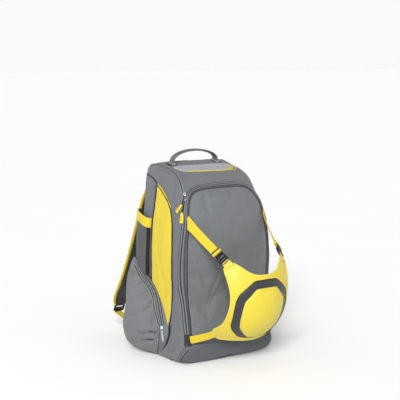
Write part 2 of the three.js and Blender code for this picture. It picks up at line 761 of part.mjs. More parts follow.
function lowerStrapGeometry() {
  const line = tabPoint.clone().sub(lobePoint);
  const reach = line.length();
  line.normalize();
  const lobeAcross = domeNormal(lobeX, lobeZ).cross(line).normalize();
  if (lobeAcross.z < 0) lobeAcross.negate();
  const sunk = 6;
  const stations = [0, 0.35, 0.7, 1].map((share) => ({
    at: lobePoint.clone().addScaledVector(line, (reach + sunk) * share),
    across: lobeAcross.clone().lerp(seamAcross, share).normalize(),
    width: lowerWebWidth, thickness: webThickness,
  }));
  const webbing = solid(sweep(stations)).subtract(bodyClear).subtract(flapTab());
  return geometryOf(mainBody(webbing.subtract(tabBody(seatGap)).subtract(bootClear)));
}

// Square corner tab that covers the end of the lower webbing
function tabBody(grow) {
  const low = lowerStrapHeight - cornerTabHeight / 2 - grow;
  const high = lowerStrapHeight + cornerTabHeight / 2 + grow;
  const right = frontHalfWidth(lowerStrapHeight) - cornerTabInset;
  const left = right - cornerTabWidth - grow;
  const outline = [[left, low], [right + grow, low], [right + grow, high], [left, high]];
  const rear = -0.885 * bodyDepth + grow;
  return bodyOffset(seatGap + cornerTabThickness + grow).intersect(solid(prism(outline, 'y', -beyond, rear)));
}

const bootClear = bootBody(bootProud + seatGap, -seatGap);
const cornerTabGeometry = () => geometryOf(mainBody(tabBody(0).subtract(bodyClear).subtract(bootClear)));

// Grab handle: an arch of webbing across the back of the top, each foot in an anchor loop
function handleSolid(grow) {
  const steps = 12;
  const sunk = handleThickness + grow;
  const fullness = 0.75;
  const stations = [];
  for (let i = -1; i <= steps + 1; i += 1) {
    const angle = Math.PI * (Math.min(steps, Math.max(0, i)) / steps);
    const x = -(handleSpan / 2) * Math.cos(angle);
    const foot = topAt(x, -handleDepth).point.z + handleThickness / 2;
    const rise = i < 0 || i > steps ? -sunk : handleRise * Math.sin(angle) ** fullness;
    stations.push({ at: vec(x, -handleDepth, foot + rise), across: vec(0, 1, 0),
      width: handleWidth + 2 * grow, thickness: handleThickness + 2 * grow });
  }
  return solid(sweep(stations, 0.6));
}

function handleAnchorGeometry() {
  const hit = topAt(handleSpan / 2, -handleDepth);
  const corner = 2;
  const plate = roundedPlate(anchorLength, handleWidth + 5, anchorThickness, corner);
  const at = hit.point.clone().addScaledVector(hit.normal, corner);
  const block = turned(plate, at, vec(1, 0, 0), hit.normal);
  return geometryOf(mainBody(solid(block).subtract(bodyClear).subtract(handleSolid(seatGap))));
}

// Shoulder strap, right side: spread and reach as shares, heights between strapBottom and strapTop
const strapRows = [
  { height: 1.000, spread: 0.00, reach: 0.000, wide: 0.86 },
  { height: 0.945, spread: 0.30, reach: 0.022, wide: 0.94 },
  { height: 0.860, spread: 0.75, reach: 0.085, wide: 1.00 },
  { height: 0.700, spread: 0.96, reach: 0.175, wide: 1.00 },
  { height: 0.545, spread: 1.00, reach: 0.318, wide: 1.00 },
  { height: 0.385, spread: 1.00, reach: 0.485, wide: 1.00 },
  { height: 0.180, spread: 1.00, reach: 0.742, wide: 0.98 },
  { height: 0.055, spread: 1.00, reach: 0.945, wide: 0.86 },
  { height: 0.000, spread: 1.00, reach: 1.000, wide: 0.62 },
];
const strapRoot = seatGap + strapThickness / 2;
const strapSoftness = 0.75;
const strapPoints = strapRows.map((row) => vec(
  strapRootSpread + (strapSpread - strapRootSpread) * row.spread,
  strapRoot + strapReach * row.reach,
  strapBottom + (strapTop - strapBottom) * row.height,
));
strapPoints[0].y += 1;

function shoulderStrapGeometry() {
  const stations = strapRows.map((row, i) => ({ at: strapPoints[i], across: vec(1, 0, 0),
    width: strapWidth * row.wide, thickness: strapThickness }));
  return geometryOf(mainBody(solid(sweep(stations, strapSoftness)).subtract(bodyClear)));
}

// Ladder lock under the strap's end, and the webbing that runs back to the bag's lower corner
const strapTip = strapPoints[strapPoints.length - 1];
const strapDown = strapTip.clone().sub(strapPoints[strapPoints.length - 2]).normalize();
const lockCentre = strapTip.clone().addScaledVector(strapDown, seatGap + lockHeight / 2);
const lockNormal = vec(1, 0, 0).cross(strapDown).normalize();

function ladderLockGeometry() {
  const slot = (lockHeight - 3 * lockBar) / 2;
  const plate = slottedPlate(lockHeight, lockWidth, lockThickness, 3, lockWidth - 2 * lockBar,
    [[(slot + lockBar) / 2, slot], [-(slot + lockBar) / 2, slot]]);
  return turned(geometryOf(plate), lockCentre.clone(), strapDown, lockNormal);
}

const lockEnd = (lockHeight + lockThickness) / 2 + seatGap;
const lockFoot = lockCentre.clone().addScaledVector(strapDown, lockEnd);
const lowerAnchor = vec(strapAnchorX, -4, strapAnchorHeight);

function strapWebbingGeometry() {
  const sag = 7;
  const stations = [0, 0.25, 0.5, 0.75, 1].map((share) => {
    const at = lockFoot.clone().lerp(lowerAnchor, share);
    at.z -= sag * 4 * share * (1 - share);
    return { at, across: vec(1, 0, 0), width: webWidth, thickness: webThickness };
  });
  return geometryOf(mainBody(solid(sweep(stations)).subtract(bodyClear)));
}

// Back pad: a plain padded panel against the wearer's back
function backPadGeometry() {
  const radius = padCorner;
  const wide = padHalfWidth - radius;
  const outline = [...arc(wide, padTop - radius, radius, 0, quarter, 4),
    ...arc(-wide, padTop - radius, radius, quarter, 2 * quarter, 4),
    ...arc(-wide, padBottom + radius, radius, 2 * quarter, 3 * quarter, 4),
    ...arc(wide, padBottom + radius, radius, 3 * quarter, 4 * quarter, 4)];
  const plate = solid(prism(outline, 'y', -1, seatGap + padThickness));
  return geometryOf(mainBody(plate.subtract(bodyClear).subtract(strapClear())));
}

// Clearance round both shoulder straps
function strapClear() {
  const stations = strapRows.map((row, i) => ({ at: strapPoints[i], across: vec(1, 0, 0),
    width: strapWidth * row.wide + 2 * seatGap, thickness: strapThickness + 2 * seatGap }));
  const right = sweep(stations, strapSoftness);
  return solid(right).add(solid(mirrored(right)));
}

// Piping round the front and the ends of the top pocket
function topPipingGeometry() {
  const outline = topPocketOutline(-1);
  const run = outline.slice(7).filter(([, y]) => y < -topPocketBack - topPocketCorner / 2);
  const lift = 0.4 * pipingRadius;
  const points = run.map(([x, y]) => topAt(x, y).point.add(vec(0, 0, lift)));
  const curve = new THREE.CatmullRomCurve3(points, false, 'centripetal');
  const sides = 5;
  const circle = new THREE.Shape(arc(0, 0, pipingRadius, 0, 4 * quarter, sides).slice(0, sides)
    .map(([x, y]) => new THREE.Vector2(x, y)));
  const tube = new THREE.ExtrudeGeometry(circle, { steps: 16, extrudePath: curve, bevelEnabled: false });
  return geometryOf(mainBody(solid(tube).subtract(bodyClear)));
}

// Zip sliders with their pulls
function onSurface(plate, hit, sink, up) {
  const at = hit.point.clone().addScaledVector(hit.normal, sink);
  return geometryOf(mainBody(solid(turned(plate, at, up, hit.normal)).subtract(bodyClear)));
}

const sliderCorner = 2;
const sliderPlate = () => roundedPlate(sliderLength, sliderWidth, sliderThickness, sliderCorner);
const sliderHeights = [472, 456];
const mainSlider = (height) => {
  const inset = (zipInset + doorInset) / 2;
  const hit = frontAt(frontHalfWidth(height) - inset, height);
  return onSurface(sliderPlate(), hit, sliderThickness / 2, vec(0, 0, 1));
};

const pullCorner = 4;
const pullPlaces = [{ y: -187, z: 434, lean: -0.70 }, { y: -203, z: 410, lean: 0.08 }];
const mainPull = ({ y, z, lean }) => {
  const hit = sideAt(y, z);
  const plate = roundedPlate(pullLength, pullWidth, pullThickness, pullCorner);
  return onSurface(plate, hit, pullThickness / 2 + seatGap, vec(0, lean, 1));
};

// Side pocket slider with its flat metal tab
const pocketZipMiddle = pocketZipInset + pocketZipWidth / 2;
const pocketMesh = new THREE.Mesh(geometryOf(pocketSolid(0)), new THREE.MeshBasicMaterial());

function pocketAt(y, z) {
  const ray = new THREE.Raycaster(vec(beyond, y, z), vec(-1, 0, 0));
  const hit = ray.intersectObject(pocketMesh)[0];
  return { point: hit.point, normal: hit.face.normal.clone() };
}

const pocketClear = pocketSolid(-seatGap);

const pocketZipLine = (z) => {
  const share = (z - pocketBottom) / pocketHeight;
  return pocketZipMiddle - pocketReach * between(pocketRows, 'height', share, 'front');
};

function onPocket(plate, z, lift, lean) {
  const hit = pocketAt(pocketZipLine(z), z);
  const at = hit.point.clone().addScaledVector(hit.normal, lift);
  return geometryOf(mainBody(solid(turned(plate, at, vec(0, lean, 1), hit.normal)).subtract(pocketClear)));
}

const pocketSlider = () => onPocket(sliderPlate(), pocketSliderHeight, sliderThickness / 2, 0.2);

function pocketTab() {
  const hang = sliderLength / 2 + tabLength / 2 + 3 * seatGap;
  const plate = roundedPlate(tabLength, tabWidth, tabThickness, sliderCorner);
  return onPocket(plate, pocketSliderHeight - hang, tabThickness / 2 + seatGap, 0.1);
}

// Feet: four short rubber studs under the base
function footGeometry() {
  const top = footHeight - seatGap;
  const profile = [[0, 0], [0.8 * footRadius, 0], [footRadius, 0.25 * top], [footRadius, top], [0, top]];
  const foot = new THREE.LatheGeometry(profile.map(([x, y]) => new THREE.Vector2(x, y)), 8);
  foot.rotateX(Math.PI / 2);
  return foot;
}

const footPlaces = [
  { name: 'foot_front_left', x: -0.90, y: -0.63 }, { name: 'foot_front_right', x: 0.90, y: -0.63 },
  { name: 'foot_back_left', x: -0.74, y: -0.15 }, { name: 'foot_back_right', x: 0.74, y: -0.15 },
];

// Assembly
const bag = new THREE.Group();

function add(name, geometry, material) {
  const mesh = new THREE.Mesh(geometry, material);
  mesh.name = name;
  bag.add(mesh);
  return mesh;
}

function addPair(name, rightGeometry, material) {
  add(`${name}_right`, rightGeometry, material);
  add(`${name}_left`, mirrored(rightGeometry), material);
}

add('main_compartment', geometryOf(mainCompartment), finish(colours.grey));
add('front_door', geometryOf(frontDoor), finish(colours.panelGrey));
add('front_zip', geometryOf(frontZip), finish(colours.darkGrey, 0.7));
add('top_pocket', geometryOf(topPocket), finish(colours.paleGrey));
add('top_piping', topPipingGeometry(), finish(colours.yellow, 0.6));
add('boot_pocket', geometryOf(bootPocket), finish(colours.grey));
addPair('side_panel', geometryOf(sidePanel), finish(colours.yellow, 0.75));
addPair('side_sleeve', geometryOf(sideSleeve), finish(colours.darkGrey));
addPair('sleeve_band', geometryOf(sleeveBand), finish(colours.yellow, 0.75));
addPair('side_pocket', geometryOf(sidePocket), finish(colours.grey));
addPair('pocket_zip', geometryOf(pocketZip), finish(colours.darkGrey, 0.7));
addPair('pocket_slider', pocketSlider(), finish(colours.silver, 0.35, 0.9));
addPair('pocket_tab', pocketTab(), finish(colours.silver, 0.35, 0.9));
add('carrier_flap', geometryOf(carrierFlap), finish(colours.yellow, 0.6));
add('flap_band', geometryOf(flapBand), finish(colours.bandGrey, 0.7));
add('flap_pad', geometryOf(flapPad), finish(colours.yellow, 0.55));
addPair('upper_strap', upperStrapGeometry(), finish(colours.yellow, 0.8));
addPair('strap_loop', strapLoopGeometry(), finish(colours.yellow, 0.8));
addPair('buckle', buckleGeometry(), finish(colours.black, 0.45));
addPair('lower_strap', lowerStrapGeometry(), finish(colours.yellow, 0.8));
addPair('corner_tab', cornerTabGeometry(), finish(colours.black, 0.8));
add('grab_handle', geometryOf(mainBody(handleSolid(0).subtract(bodyClear))), finish(colours.darkGrey));
addPair('handle_anchor', handleAnchorGeometry(), finish(colours.silver, 0.4, 0.6));
add('back_pad', backPadGeometry(), finish(colours.black, 0.95));
addPair('shoulder_strap', shoulderStrapGeometry(), finish(colours.black, 0.9));
addPair('ladder_lock', ladderLockGeometry(), finish(colours.black, 0.45));
addPair('strap_webbing', strapWebbingGeometry(), finish(colours.yellow, 0.8));
sliderHeights.forEach((height, i) => {
  const name = i ? 'zip_slider_lower' : 'zip_slider_upper';
  add(name, mirrored(mainSlider(height)), finish(colours.silver, 0.35, 0.9));
});
pullPlaces.forEach((place, i) => {
  const name = i ? 'zip_pull_lower' : 'zip_pull_upper';
  add(name, mirrored(mainPull(place)), finish(colours.yellow, 0.5));
});
footPlaces.forEach(({ name, x, y }) => {
  const foot = add(name, footGeometry(), finish(colours.black, 0.8));
  foot.position.set(x * bodyHalfWidth, y * bodyDepth, 0);
});

// The middle of the whole bag's box stands over the origin, its lowest point on Z = 0
bag.updateMatrixWorld(true);
const box = new THREE.Box3().setFromObject(bag, true);
bag.position.set(-(box.min.x + box.max.x) / 2, -(box.min.y + box.max.y) / 2, -box.min.z);

export default bag;
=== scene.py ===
# Sports backpack with side sleeves, side pockets and a domed front carrier flap.
# Shapes are worked out in millimetres with the wearer's back plane at y = 0, and moved to the
# frame's own place in metres when a mesh is made.
import math
import bpy
import numpy as np
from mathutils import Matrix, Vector, noise
from mathutils.bvhtree import BVHTree

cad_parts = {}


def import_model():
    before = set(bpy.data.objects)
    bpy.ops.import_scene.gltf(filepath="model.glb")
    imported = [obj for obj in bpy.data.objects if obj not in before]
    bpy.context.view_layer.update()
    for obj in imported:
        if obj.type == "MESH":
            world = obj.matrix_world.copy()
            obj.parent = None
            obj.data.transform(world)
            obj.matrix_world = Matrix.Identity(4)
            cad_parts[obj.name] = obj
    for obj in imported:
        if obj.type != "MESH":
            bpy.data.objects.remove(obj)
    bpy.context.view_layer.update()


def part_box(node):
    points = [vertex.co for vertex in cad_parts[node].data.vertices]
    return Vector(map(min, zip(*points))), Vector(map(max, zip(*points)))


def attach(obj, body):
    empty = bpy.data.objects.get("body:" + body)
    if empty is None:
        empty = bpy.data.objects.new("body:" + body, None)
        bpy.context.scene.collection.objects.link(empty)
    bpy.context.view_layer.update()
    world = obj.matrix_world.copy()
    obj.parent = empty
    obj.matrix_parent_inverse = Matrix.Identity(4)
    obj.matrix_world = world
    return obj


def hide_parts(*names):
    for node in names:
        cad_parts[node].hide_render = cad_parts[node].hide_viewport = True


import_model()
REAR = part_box("main_compartment")[1].y * 1000.0
scene = bpy.context.scene


# Materials

def socket(node, name, value):
    if name in node.inputs:
        node.inputs[name].default_value = value


class Paint:
    """A Principled material with helpers for procedural colour and relief in object space."""

    def __init__(self, name, colour, rough=0.8, metal=0.0, sheen=0.0, specular=0.5):
        self.mat = bpy.data.materials.new(name)
        self.mat.use_nodes = True
        self.tree = self.mat.node_tree
        self.shader = next(n for n in self.tree.nodes if n.type == "BSDF_PRINCIPLED")
        self.colour = colour
        self.place = self.tree.nodes.new("ShaderNodeTexCoord").outputs["Object"]
        socket(self.shader, "Base Color", (*colour, 1.0))
        socket(self.shader, "Roughness", rough)
        socket(self.shader, "Metallic", metal)
        socket(self.shader, "Sheen Weight", sheen)
        socket(self.shader, "Sheen Roughness", 0.5)
        socket(self.shader, "Specular IOR Level", specular)

    def node(self, kind, **values):
        made = self.tree.nodes.new(kind)
        for name, value in values.items():
            setattr(made, name, value)
        return made

    def link(self, a, b):
        self.tree.links.new(a, b)

    def spot(self, rotation=(0, 0, 0), scale=(1, 1, 1)):
        mapping = self.node("ShaderNodeMapping")
        mapping.inputs["Rotation"].default_value = rotation
        mapping.inputs["Scale"].default_value = scale
        self.link(self.place, mapping.inputs["Vector"])
        return mapping.outputs["Vector"]

    def noise(self, scale, detail=2.0, where=None):
        made = self.node("ShaderNodeTexNoise")
        made.inputs["Scale"].default_value = scale
        made.inputs["Detail"].default_value = detail
        self.link(where or self.place, made.inputs["Vector"])
        return made.outputs["Fac"]

    def bands(self, pitch, direction, where=None):
        """Soft stripes, one for each pitch in metres."""
        made = self.node("ShaderNodeTexWave", wave_type="BANDS", bands_direction=direction)
        made.inputs["Scale"].default_value = 2 * math.pi / (20.0 * pitch)
        made.inputs["Detail"].default_value = 1.0
        self.link(where or self.place, made.inputs["Vector"])
        return made.outputs["Fac"]

    def math(self, operation, a, b):
        made = self.node("ShaderNodeMath", operation=operation)
        for slot, value in zip(made.inputs, (a, b)):
            if isinstance(value, (int, float)):
                slot.default_value = value
            else:
                self.link(value, slot)
        return made.outputs[0]

    def tint(self, factor, dark, light, low=0.3, high=0.7):
        """Base colour between two shades by a pattern."""
        ramp = self.node("ShaderNodeValToRGB")
        ramp.color_ramp.elements[0].position = low
        ramp.color_ramp.elements[1].position = high
        ramp.color_ramp.elements[0].color = (*[min(1.0, c * dark) for c in self.colour], 1.0)
        ramp.color_ramp.elements[1].color = (*[min(1.0, c * light) for c in self.colour], 1.0)
        self.link(factor, ramp.inputs["Fac"])
        self.link(ramp.outputs["Color"], self.shader.inputs["Base Color"])
        return ramp

    def shade_folds(self, colour, darkest=0.5, low=0.455):
        """Painted shade: darker cloth down in the folds and beside the seams."""
        hollow = self.node("ShaderNodeMapRange")
        for name, value in (("From Min", low), ("From Max", 0.497), ("To Min", darkest), ("To Max", 1.0)):
            hollow.inputs[name].default_value = value
        self.link(self.node("ShaderNodeNewGeometry").outputs["Pointiness"], hollow.inputs["Value"])
        shaded = self.node("ShaderNodeVectorMath", operation="SCALE")
        self.link(colour, shaded.inputs[0])
        self.link(hollow.outputs["Result"], shaded.inputs["Scale"])
        self.link(shaded.outputs["Vector"], self.shader.inputs["Base Color"])

    def relief(self, height, distance, strength=1.0, under=None):
        bump = self.node("ShaderNodeBump")
        bump.inputs["Distance"].default_value = distance
        bump.inputs["Strength"].default_value = strength
        self.link(height, bump.inputs["Height"])
        if under is not None:
            self.link(under, bump.inputs["Normal"])
        return bump.outputs["Normal"]

    def finish(self, normal):
        self.link(normal, self.shader.inputs["Normal"])
        return self.mat


def cloth(name, colour, pitch=0.0011, weave=0.00012, mottle=0.05, soft=0.0012, rough=0.82, sheen=0.15,
          grain=900.0):
    """Plain-woven cloth: crossing threads, a faint mottle, a soft unevenness and painted shade in its folds.
    """
    paint = Paint(name, colour, rough=rough, sheen=sheen, specular=0.3)
    turned = paint.spot(rotation=(0, 0, math.radians(45)))
    threads = paint.math("MULTIPLY", paint.bands(pitch, "Z"), paint.bands(pitch, "X", turned))
    patchy = paint.math("ADD", paint.math("MULTIPLY", paint.noise(16.0, 3.0), 0.7),
                        paint.math("MULTIPLY", paint.noise(grain, 1.0), 0.3))
    ramp = paint.tint(patchy, 1.0 - mottle, 1.0 + mottle)
    # Painted shade: the mottled colour is darkened down in folds and beside seams.
    paint.shade_folds(ramp.outputs["Color"])
    low = paint.relief(paint.noise(30.0, 2.0), soft, 0.35)
    return paint.finish(paint.relief(threads, weave, 0.5, low))


def webbing(name, colour, pitch=0.0022, rough=0.75, deep=0.00025, direction="Z"):
    """Strap tape with its close ribs."""
    paint = Paint(name, colour, rough=rough, sheen=0.1, specular=0.35)
    ribs = paint.math("MULTIPLY", paint.bands(pitch, direction),
                      paint.bands(pitch * 0.7, "X", paint.spot(rotation=(0.5, 0.3, 0.8))))
    paint.tint(paint.math("ADD", paint.math("MULTIPLY", ribs, 0.5),
                          paint.math("MULTIPLY", paint.noise(40.0, 3.0), 0.5)), 0.92, 1.05)
    return paint.finish(paint.relief(ribs, deep, 0.6))


def coated(name, colour, rough=0.5, mottle=0.04, sheen=0.1):
    """Smooth coated cloth: a fine pebble and broad soft waves."""
    paint = Paint(name, colour, rough=rough, sheen=sheen, specular=0.4)
    paint.tint(paint.noise(14.0, 3.0), 1.0 - mottle, 1.0 + mottle)
    low = paint.relief(paint.noise(24.0, 2.0), 0.0012, 0.3)
    return paint.finish(paint.relief(paint.noise(1100.0, 1.0), 0.00008, 0.5, low))


def perforated(name, colour, pitch=0.0042):
    """Coated cloth with a diagonal field of small dimples."""
    paint = Paint(name, colour, rough=0.5, sheen=0.1, specular=0.4)
    where = paint.spot(rotation=(0, math.radians(38), 0))
    dots = paint.math("MULTIPLY", paint.bands(pitch, "X", where), paint.bands(pitch, "Z", where))
    paint.tint(paint.math("ADD", paint.math("MULTIPLY", dots, 0.75),
                          paint.math("MULTIPLY", paint.noise(20.0, 2.0), 0.25)), 1.03, 0.86, 0.25, 0.8)
    upside = paint.math("SUBTRACT", 1.0, dots)
    return paint.finish(paint.relief(upside, 0.0005, 0.7, paint.relief(paint.noise(20.0), 0.001, 0.25)))


def mesh_cloth(name, colour, pitch=0.0030, rough=0.9):
    """Spacer mesh: a close field of small holes."""
    paint = Paint(name, colour, rough=rough, sheen=0.25, specular=0.25)
    where = paint.spot(rotation=(0, math.radians(45), 0))
    cells = paint.math("MULTIPLY", paint.bands(pitch, "X", where), paint.bands(pitch, "Z", where))
    paint.tint(cells, 1.25, 0.55, 0.3, 0.75)
    return paint.finish(paint.relief(paint.math("SUBTRACT", 1.0, cells), 0.0005, 0.8))


def moulded(name, colour, rough=0.45):
    """Moulded plastic or rubber: a fine spark-eroded grain, lighter where the edges rub."""
    paint = Paint(name, colour, rough=rough)
    worn = paint.node("ShaderNodeNewGeometry").outputs["Pointiness"]
    paint.tint(paint.math("ADD", paint.math("MULTIPLY", paint.noise(120.0, 2.0), 0.12), worn), 0.85, 1.35,
               0.50, 0.66)
    return paint.finish(paint.relief(paint.noise(1500.0, 1.0), 0.00006, 0.6))


def metal(name, colour, rough=0.28):
    paint = Paint(name, colour, rough=rough, metal=0.95, specular=0.5)
    paint.tint(paint.noise(300.0, 2.0), 0.86, 1.08)
    return paint.finish(paint.relief(paint.noise(900.0, 1.0), 0.00004, 0.5))


GREY = (0.118, 0.124, 0.130)
YELLOW = (0.560, 0.435, 0.023)
M = {
    "grey": cloth("grey_weave", GREY),
    "door": cloth("door_weave", (0.125, 0.132, 0.138), soft=0.0016),
    # Boot cloth set darker and bluer than the body: partly its own tone, partly painted shade under the
    # flap.
    "boot": cloth("boot_weave", (0.078, 0.084, 0.091), soft=0.0016),
    "pocket": cloth("pocket_weave", (0.124, 0.130, 0.135), soft=0.0014),
    "sleeve": cloth("sleeve_weave", (0.062, 0.066, 0.070), mottle=0.08),
    # Near-black cloth for the sleeve's inner wall: painted shade of its deep inside.
    "inside": cloth("sleeve_inside_shade", (0.010, 0.010, 0.010)),
    "pale": cloth("pale_weave", (0.290, 0.290, 0.310), mottle=0.03),
    "leaf": cloth("yellow_weave", YELLOW, mottle=0.04, rough=0.7),
    "flap": coated("flap_yellow_cloth", (0.574, 0.454, 0.034), rough=0.46),
    "pad": perforated("pad_yellow_cloth", (0.590, 0.469, 0.034)),
    "band": coated("band_grey_cloth", (0.024, 0.026, 0.029), rough=0.40),
    "rim": webbing("pale_yellow_rim", (0.620, 0.522, 0.076)),
    "binding": webbing("yellow_binding", (0.529, 0.409, 0.019)),
    "web": webbing("yellow_webbing", (0.574, 0.442, 0.022)),
    # Darker yellow for the mouth band's inner side: painted shade on the same yellow webbing.
    "web_inner_shade": webbing("yellow_band_inner_shade", (0.423, 0.325, 0.015)),
    "dark_seam": webbing("dark_seam", (0.006, 0.007, 0.008), rough=0.85),
    # Paler cords beside the seams: real raised ridges, painted lighter as a painted highlight on the rounded
    # seam edges.
    "seam_ridge_highlight": webbing("seam_ridge_highlight", (0.165, 0.171, 0.178), rough=0.6),
    "rib": webbing("zip_rib", (0.138, 0.145, 0.151), rough=0.55),
    "tape": webbing("zip_tape", (0.081, 0.086, 0.093), rough=0.7, pitch=0.0014),
    "black": mesh_cloth("black_mesh", (0.006, 0.006, 0.006)),
    "black_tape": webbing("black_tape", (0.006, 0.006, 0.007), rough=0.85),
    "dark_tape": webbing("dark_grey_tape", (0.024, 0.025, 0.026), rough=0.8),
    "handle": webbing("handle_tape", (0.111, 0.115, 0.121), rough=0.7),
    "plastic": moulded("black_plastic", (0.006, 0.006, 0.007), rough=0.38),
    "anchor": moulded("silver_grey_plastic", (0.229, 0.235, 0.242), rough=0.35),
    "rubber": moulded("foot_rubber", (0.006, 0.006, 0.006), rough=0.7),
    "pull": moulded("pull_yellow_rubber", (0.590, 0.454, 0.022), rough=0.5),
    "silver": metal("satin_metal", (0.60, 0.61, 0.63)),
    "thread": webbing("grey_thread", (0.182, 0.188, 0.195), pitch=0.0006),
    "yellow_thread": webbing("yellow_thread", (0.416, 0.318, 0.023), pitch=0.0006),
}


# Meshes

def world(points):
    return (np.asarray(points, float) + np.array([0.0, REAR, 0.0])) / 1000.0


class Shape:
    """Vertices and faces of one piece, gathered from several parts."""

    def __init__(self):
        self.verts = []
        self.faces = []
        self.kinds = []
        self.count = 0

    def add(self, verts, faces, kind=0):
        self.verts.append(np.asarray(verts, float))
        self.faces.extend([tuple(int(i) + self.count for i in face) for face in faces])
        self.kinds.extend([kind] * len(faces))
        self.count += len(verts)
        return self

    def mirrored(self):
        other = Shape()
        verts = np.concatenate(self.verts) * np.array([-1.0, 1.0, 1.0])
        other.add(verts, [face[::-1] for face in self.faces])
        other.kinds = list(self.kinds)
        return other

    def all(self):
        return np.concatenate(self.verts)


def make(name, shape, mats, replaces=()):
    mesh = bpy.data.meshes.new(name)
    mesh.from_pydata(world(shape.all()).tolist(), [], shape.faces)
    for mat in (mats if isinstance(mats, (list, tuple)) else [mats]):
        mesh.materials.append(M[mat])
    mesh.polygons.foreach_set("material_index", shape.kinds)
    mesh.polygons.foreach_set("use_smooth", [True] * len(mesh.polygons))
    mesh.update()
    made = bpy.data.objects.new(name, mesh)
    scene.collection.objects.link(made)
    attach(made, "root")
    if replaces:
        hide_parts(*replaces)
    return made


def make_pair(name, shape, mats, replaces=()):
    """The right piece and its mirror image on the left."""
    right = make(name + "_right", shape, mats, [n + "_right" for n in replaces])
    left = make(name + "_left", shape.mirrored(), mats, [n + "_left" for n in replaces])
    return right, left


def grid(rows, columns, wrap=False):
    """Faces of a grid of points given row by row."""
    faces = []
    last = columns if wrap else columns - 1
    for r in range(rows - 1):
        for c in range(last):
            a = r * columns + c
            b = r * columns + (c + 1) % columns
            faces.append((a, b, b + columns, a + columns))
    return faces


def pchip(x, y, at):
    """Smooth curve through table values that never overshoots them."""
    x, y, at = np.asarray(x, float), np.asarray(y, float), np.asarray(at, float)
    h = np.diff(x)
    d = np.diff(y) / h
    m = np.zeros(len(x))
    m[0], m[-1] = d[0], d[-1]
    for i in range(1, len(x) - 1):
        if d[i - 1] * d[i] > 0:
            a, b = 2 * h[i] + h[i - 1], h[i] + 2 * h[i - 1]
            m[i] = (a + b) / (a / d[i - 1] + b / d[i])
    k = np.clip(np.searchsorted(x, at, side="right") - 1, 0, len(x) - 2)
    t = np.clip((at - x[k]) / h[k], 0, 1)
    return ((1 + 2 * t) * (1 - t) ** 2 * y[k] + t * (1 - t) ** 2 * h[k] * m[k]
            + t ** 2 * (3 - 2 * t) * y[k + 1] + t ** 2 * (t - 1) * h[k] * m[k + 1])


def spline(points, count):
    """Points evenly along a centripetal Catmull-Rom curve."""
    p = np.asarray(points, float)
    p = np.vstack([2 * p[0] - p[1], p, 2 * p[-1] - p[-2]])
    fine = []
    for i in range(1, len(p) - 2):
        t = [0.0]
        for j in range(3):
            t.append(t[-1] + max(1e-6, np.linalg.norm(p[i + j] - p[i + j - 1]) ** 0.5))
        for s in np.linspace(t[1], t[2], 24, endpoint=False):
            a = [((t[j + 1] - s) * p[i + j - 1] + (s - t[j]) * p[i + j]) / (t[j + 1] - t[j])
                 for j in range(3)]
            b = [((t[j + 2] - s) * a[j] + (s - t[j]) * a[j + 1]) / (t[j + 2] - t[j]) for j in range(2)]
            fine.append(((t[2] - s) * b[0] + (s - t[1]) * b[1]) / (t[2] - t[1]))
    fine.append(p[-2])
    return even(np.array(fine), count)


def even(points, count, closed=False):
    """The same line with its points evenly spaced. A closed one leaves out the repeated end."""
    points = np.asarray(points, float)
    steps = np.linalg.norm(np.diff(points, axis=0), axis=1)
    along = np.concatenate([[0], np.cumsum(steps)])
    at = np.linspace(0, along[-1], count + 1)[:-1] if closed else np.linspace(0, along[-1], count)
    return np.stack([np.interp(at, along, points[:, i]) for i in range(points.shape[1])], axis=1)


def unit(v):
    v = np.asarray(v, float)
    return v / np.maximum(1e-9, np.linalg.norm(v, axis=-1, keepdims=True))


def parts(pairs):
    """Points and normals from a list of pairs."""
    return np.array([p for p, _ in pairs]), np.array([n for _, n in pairs])


def loop_of(points, count):
    """Evenly spaced points round a closed line."""
    return even(np.vstack([points, points[:1]]), count, closed=True)


def from_edge(edge, verts):
    """How far each point lies inside the edge, seen from the front or back."""
    return np.array([np.min(np.linalg.norm(edge - p, axis=1)) for p in verts[:, [0, 2]]])


def tangents(path, closed=False):
    if closed:
        return unit(np.roll(path, -1, 0) - np.roll(path, 1, 0))
    return unit(np.gradient(path, axis=0))


def strip(path, normals, section, closed=False, scale=None):
    """A section of (across, out) points swept along a line that lies on a surface."""
    path, normals = np.asarray(path, float), np.asarray(normals, float)
    along = tangents(path, closed)
    across = unit(np.cross(along, normals))
    out = np.cross(across, along)
    section = np.asarray(section, float)
    rings = []
    for i in range(len(path)):
        s = section * (scale[i] if scale is not None else 1.0)
        rings.append(path[i] + s[:, :1] * across[i] + s[:, 1:] * out[i])
    n = len(section)
    verts = np.concatenate(rings)
    faces = grid(len(path), n, wrap=True)
    if closed:
        base = (len(path) - 1) * n
        faces += [(base + c, base + (c + 1) % n, (c + 1) % n, c) for c in range(n)]
    else:
        faces += [tuple(range(n))[::-1], tuple(range((len(path) - 1) * n, len(path) * n))]
    return verts, faces


def round_section(radius, sides=8, flat=1.0, lift=0.0):
    angles = np.arange(sides) * 2 * math.pi / sides
    return np.stack([radius * np.cos(angles), lift + flat * radius * np.sin(angles)], axis=1)


def rounded_bar(half_wide, half_thick, sides, wide_power, thick_power):
    """A section between a rectangle and an ellipse."""
    angle = np.arange(sides) * 2 * math.pi / sides
    return np.stack([half_wide * np.sign(np.cos(angle)) * np.abs(np.cos(angle)) ** wide_power,
                     half_thick * np.sign(np.sin(angle)) * np.abs(np.sin(angle)) ** thick_power], 1)


def tape_section(half, thick, sides=5):
    """A flat tape with soft edges, its underside on the surface."""
    arc = np.linspace(-math.pi / 2, math.pi / 2, sides)
    right = np.stack([half - thick / 2 + thick / 2 * np.cos(arc), thick / 2 * (1 + np.sin(arc))], axis=1)
    left = right[::-1] * np.array([-1.0, 1.0])
    return np.concatenate([right, left])


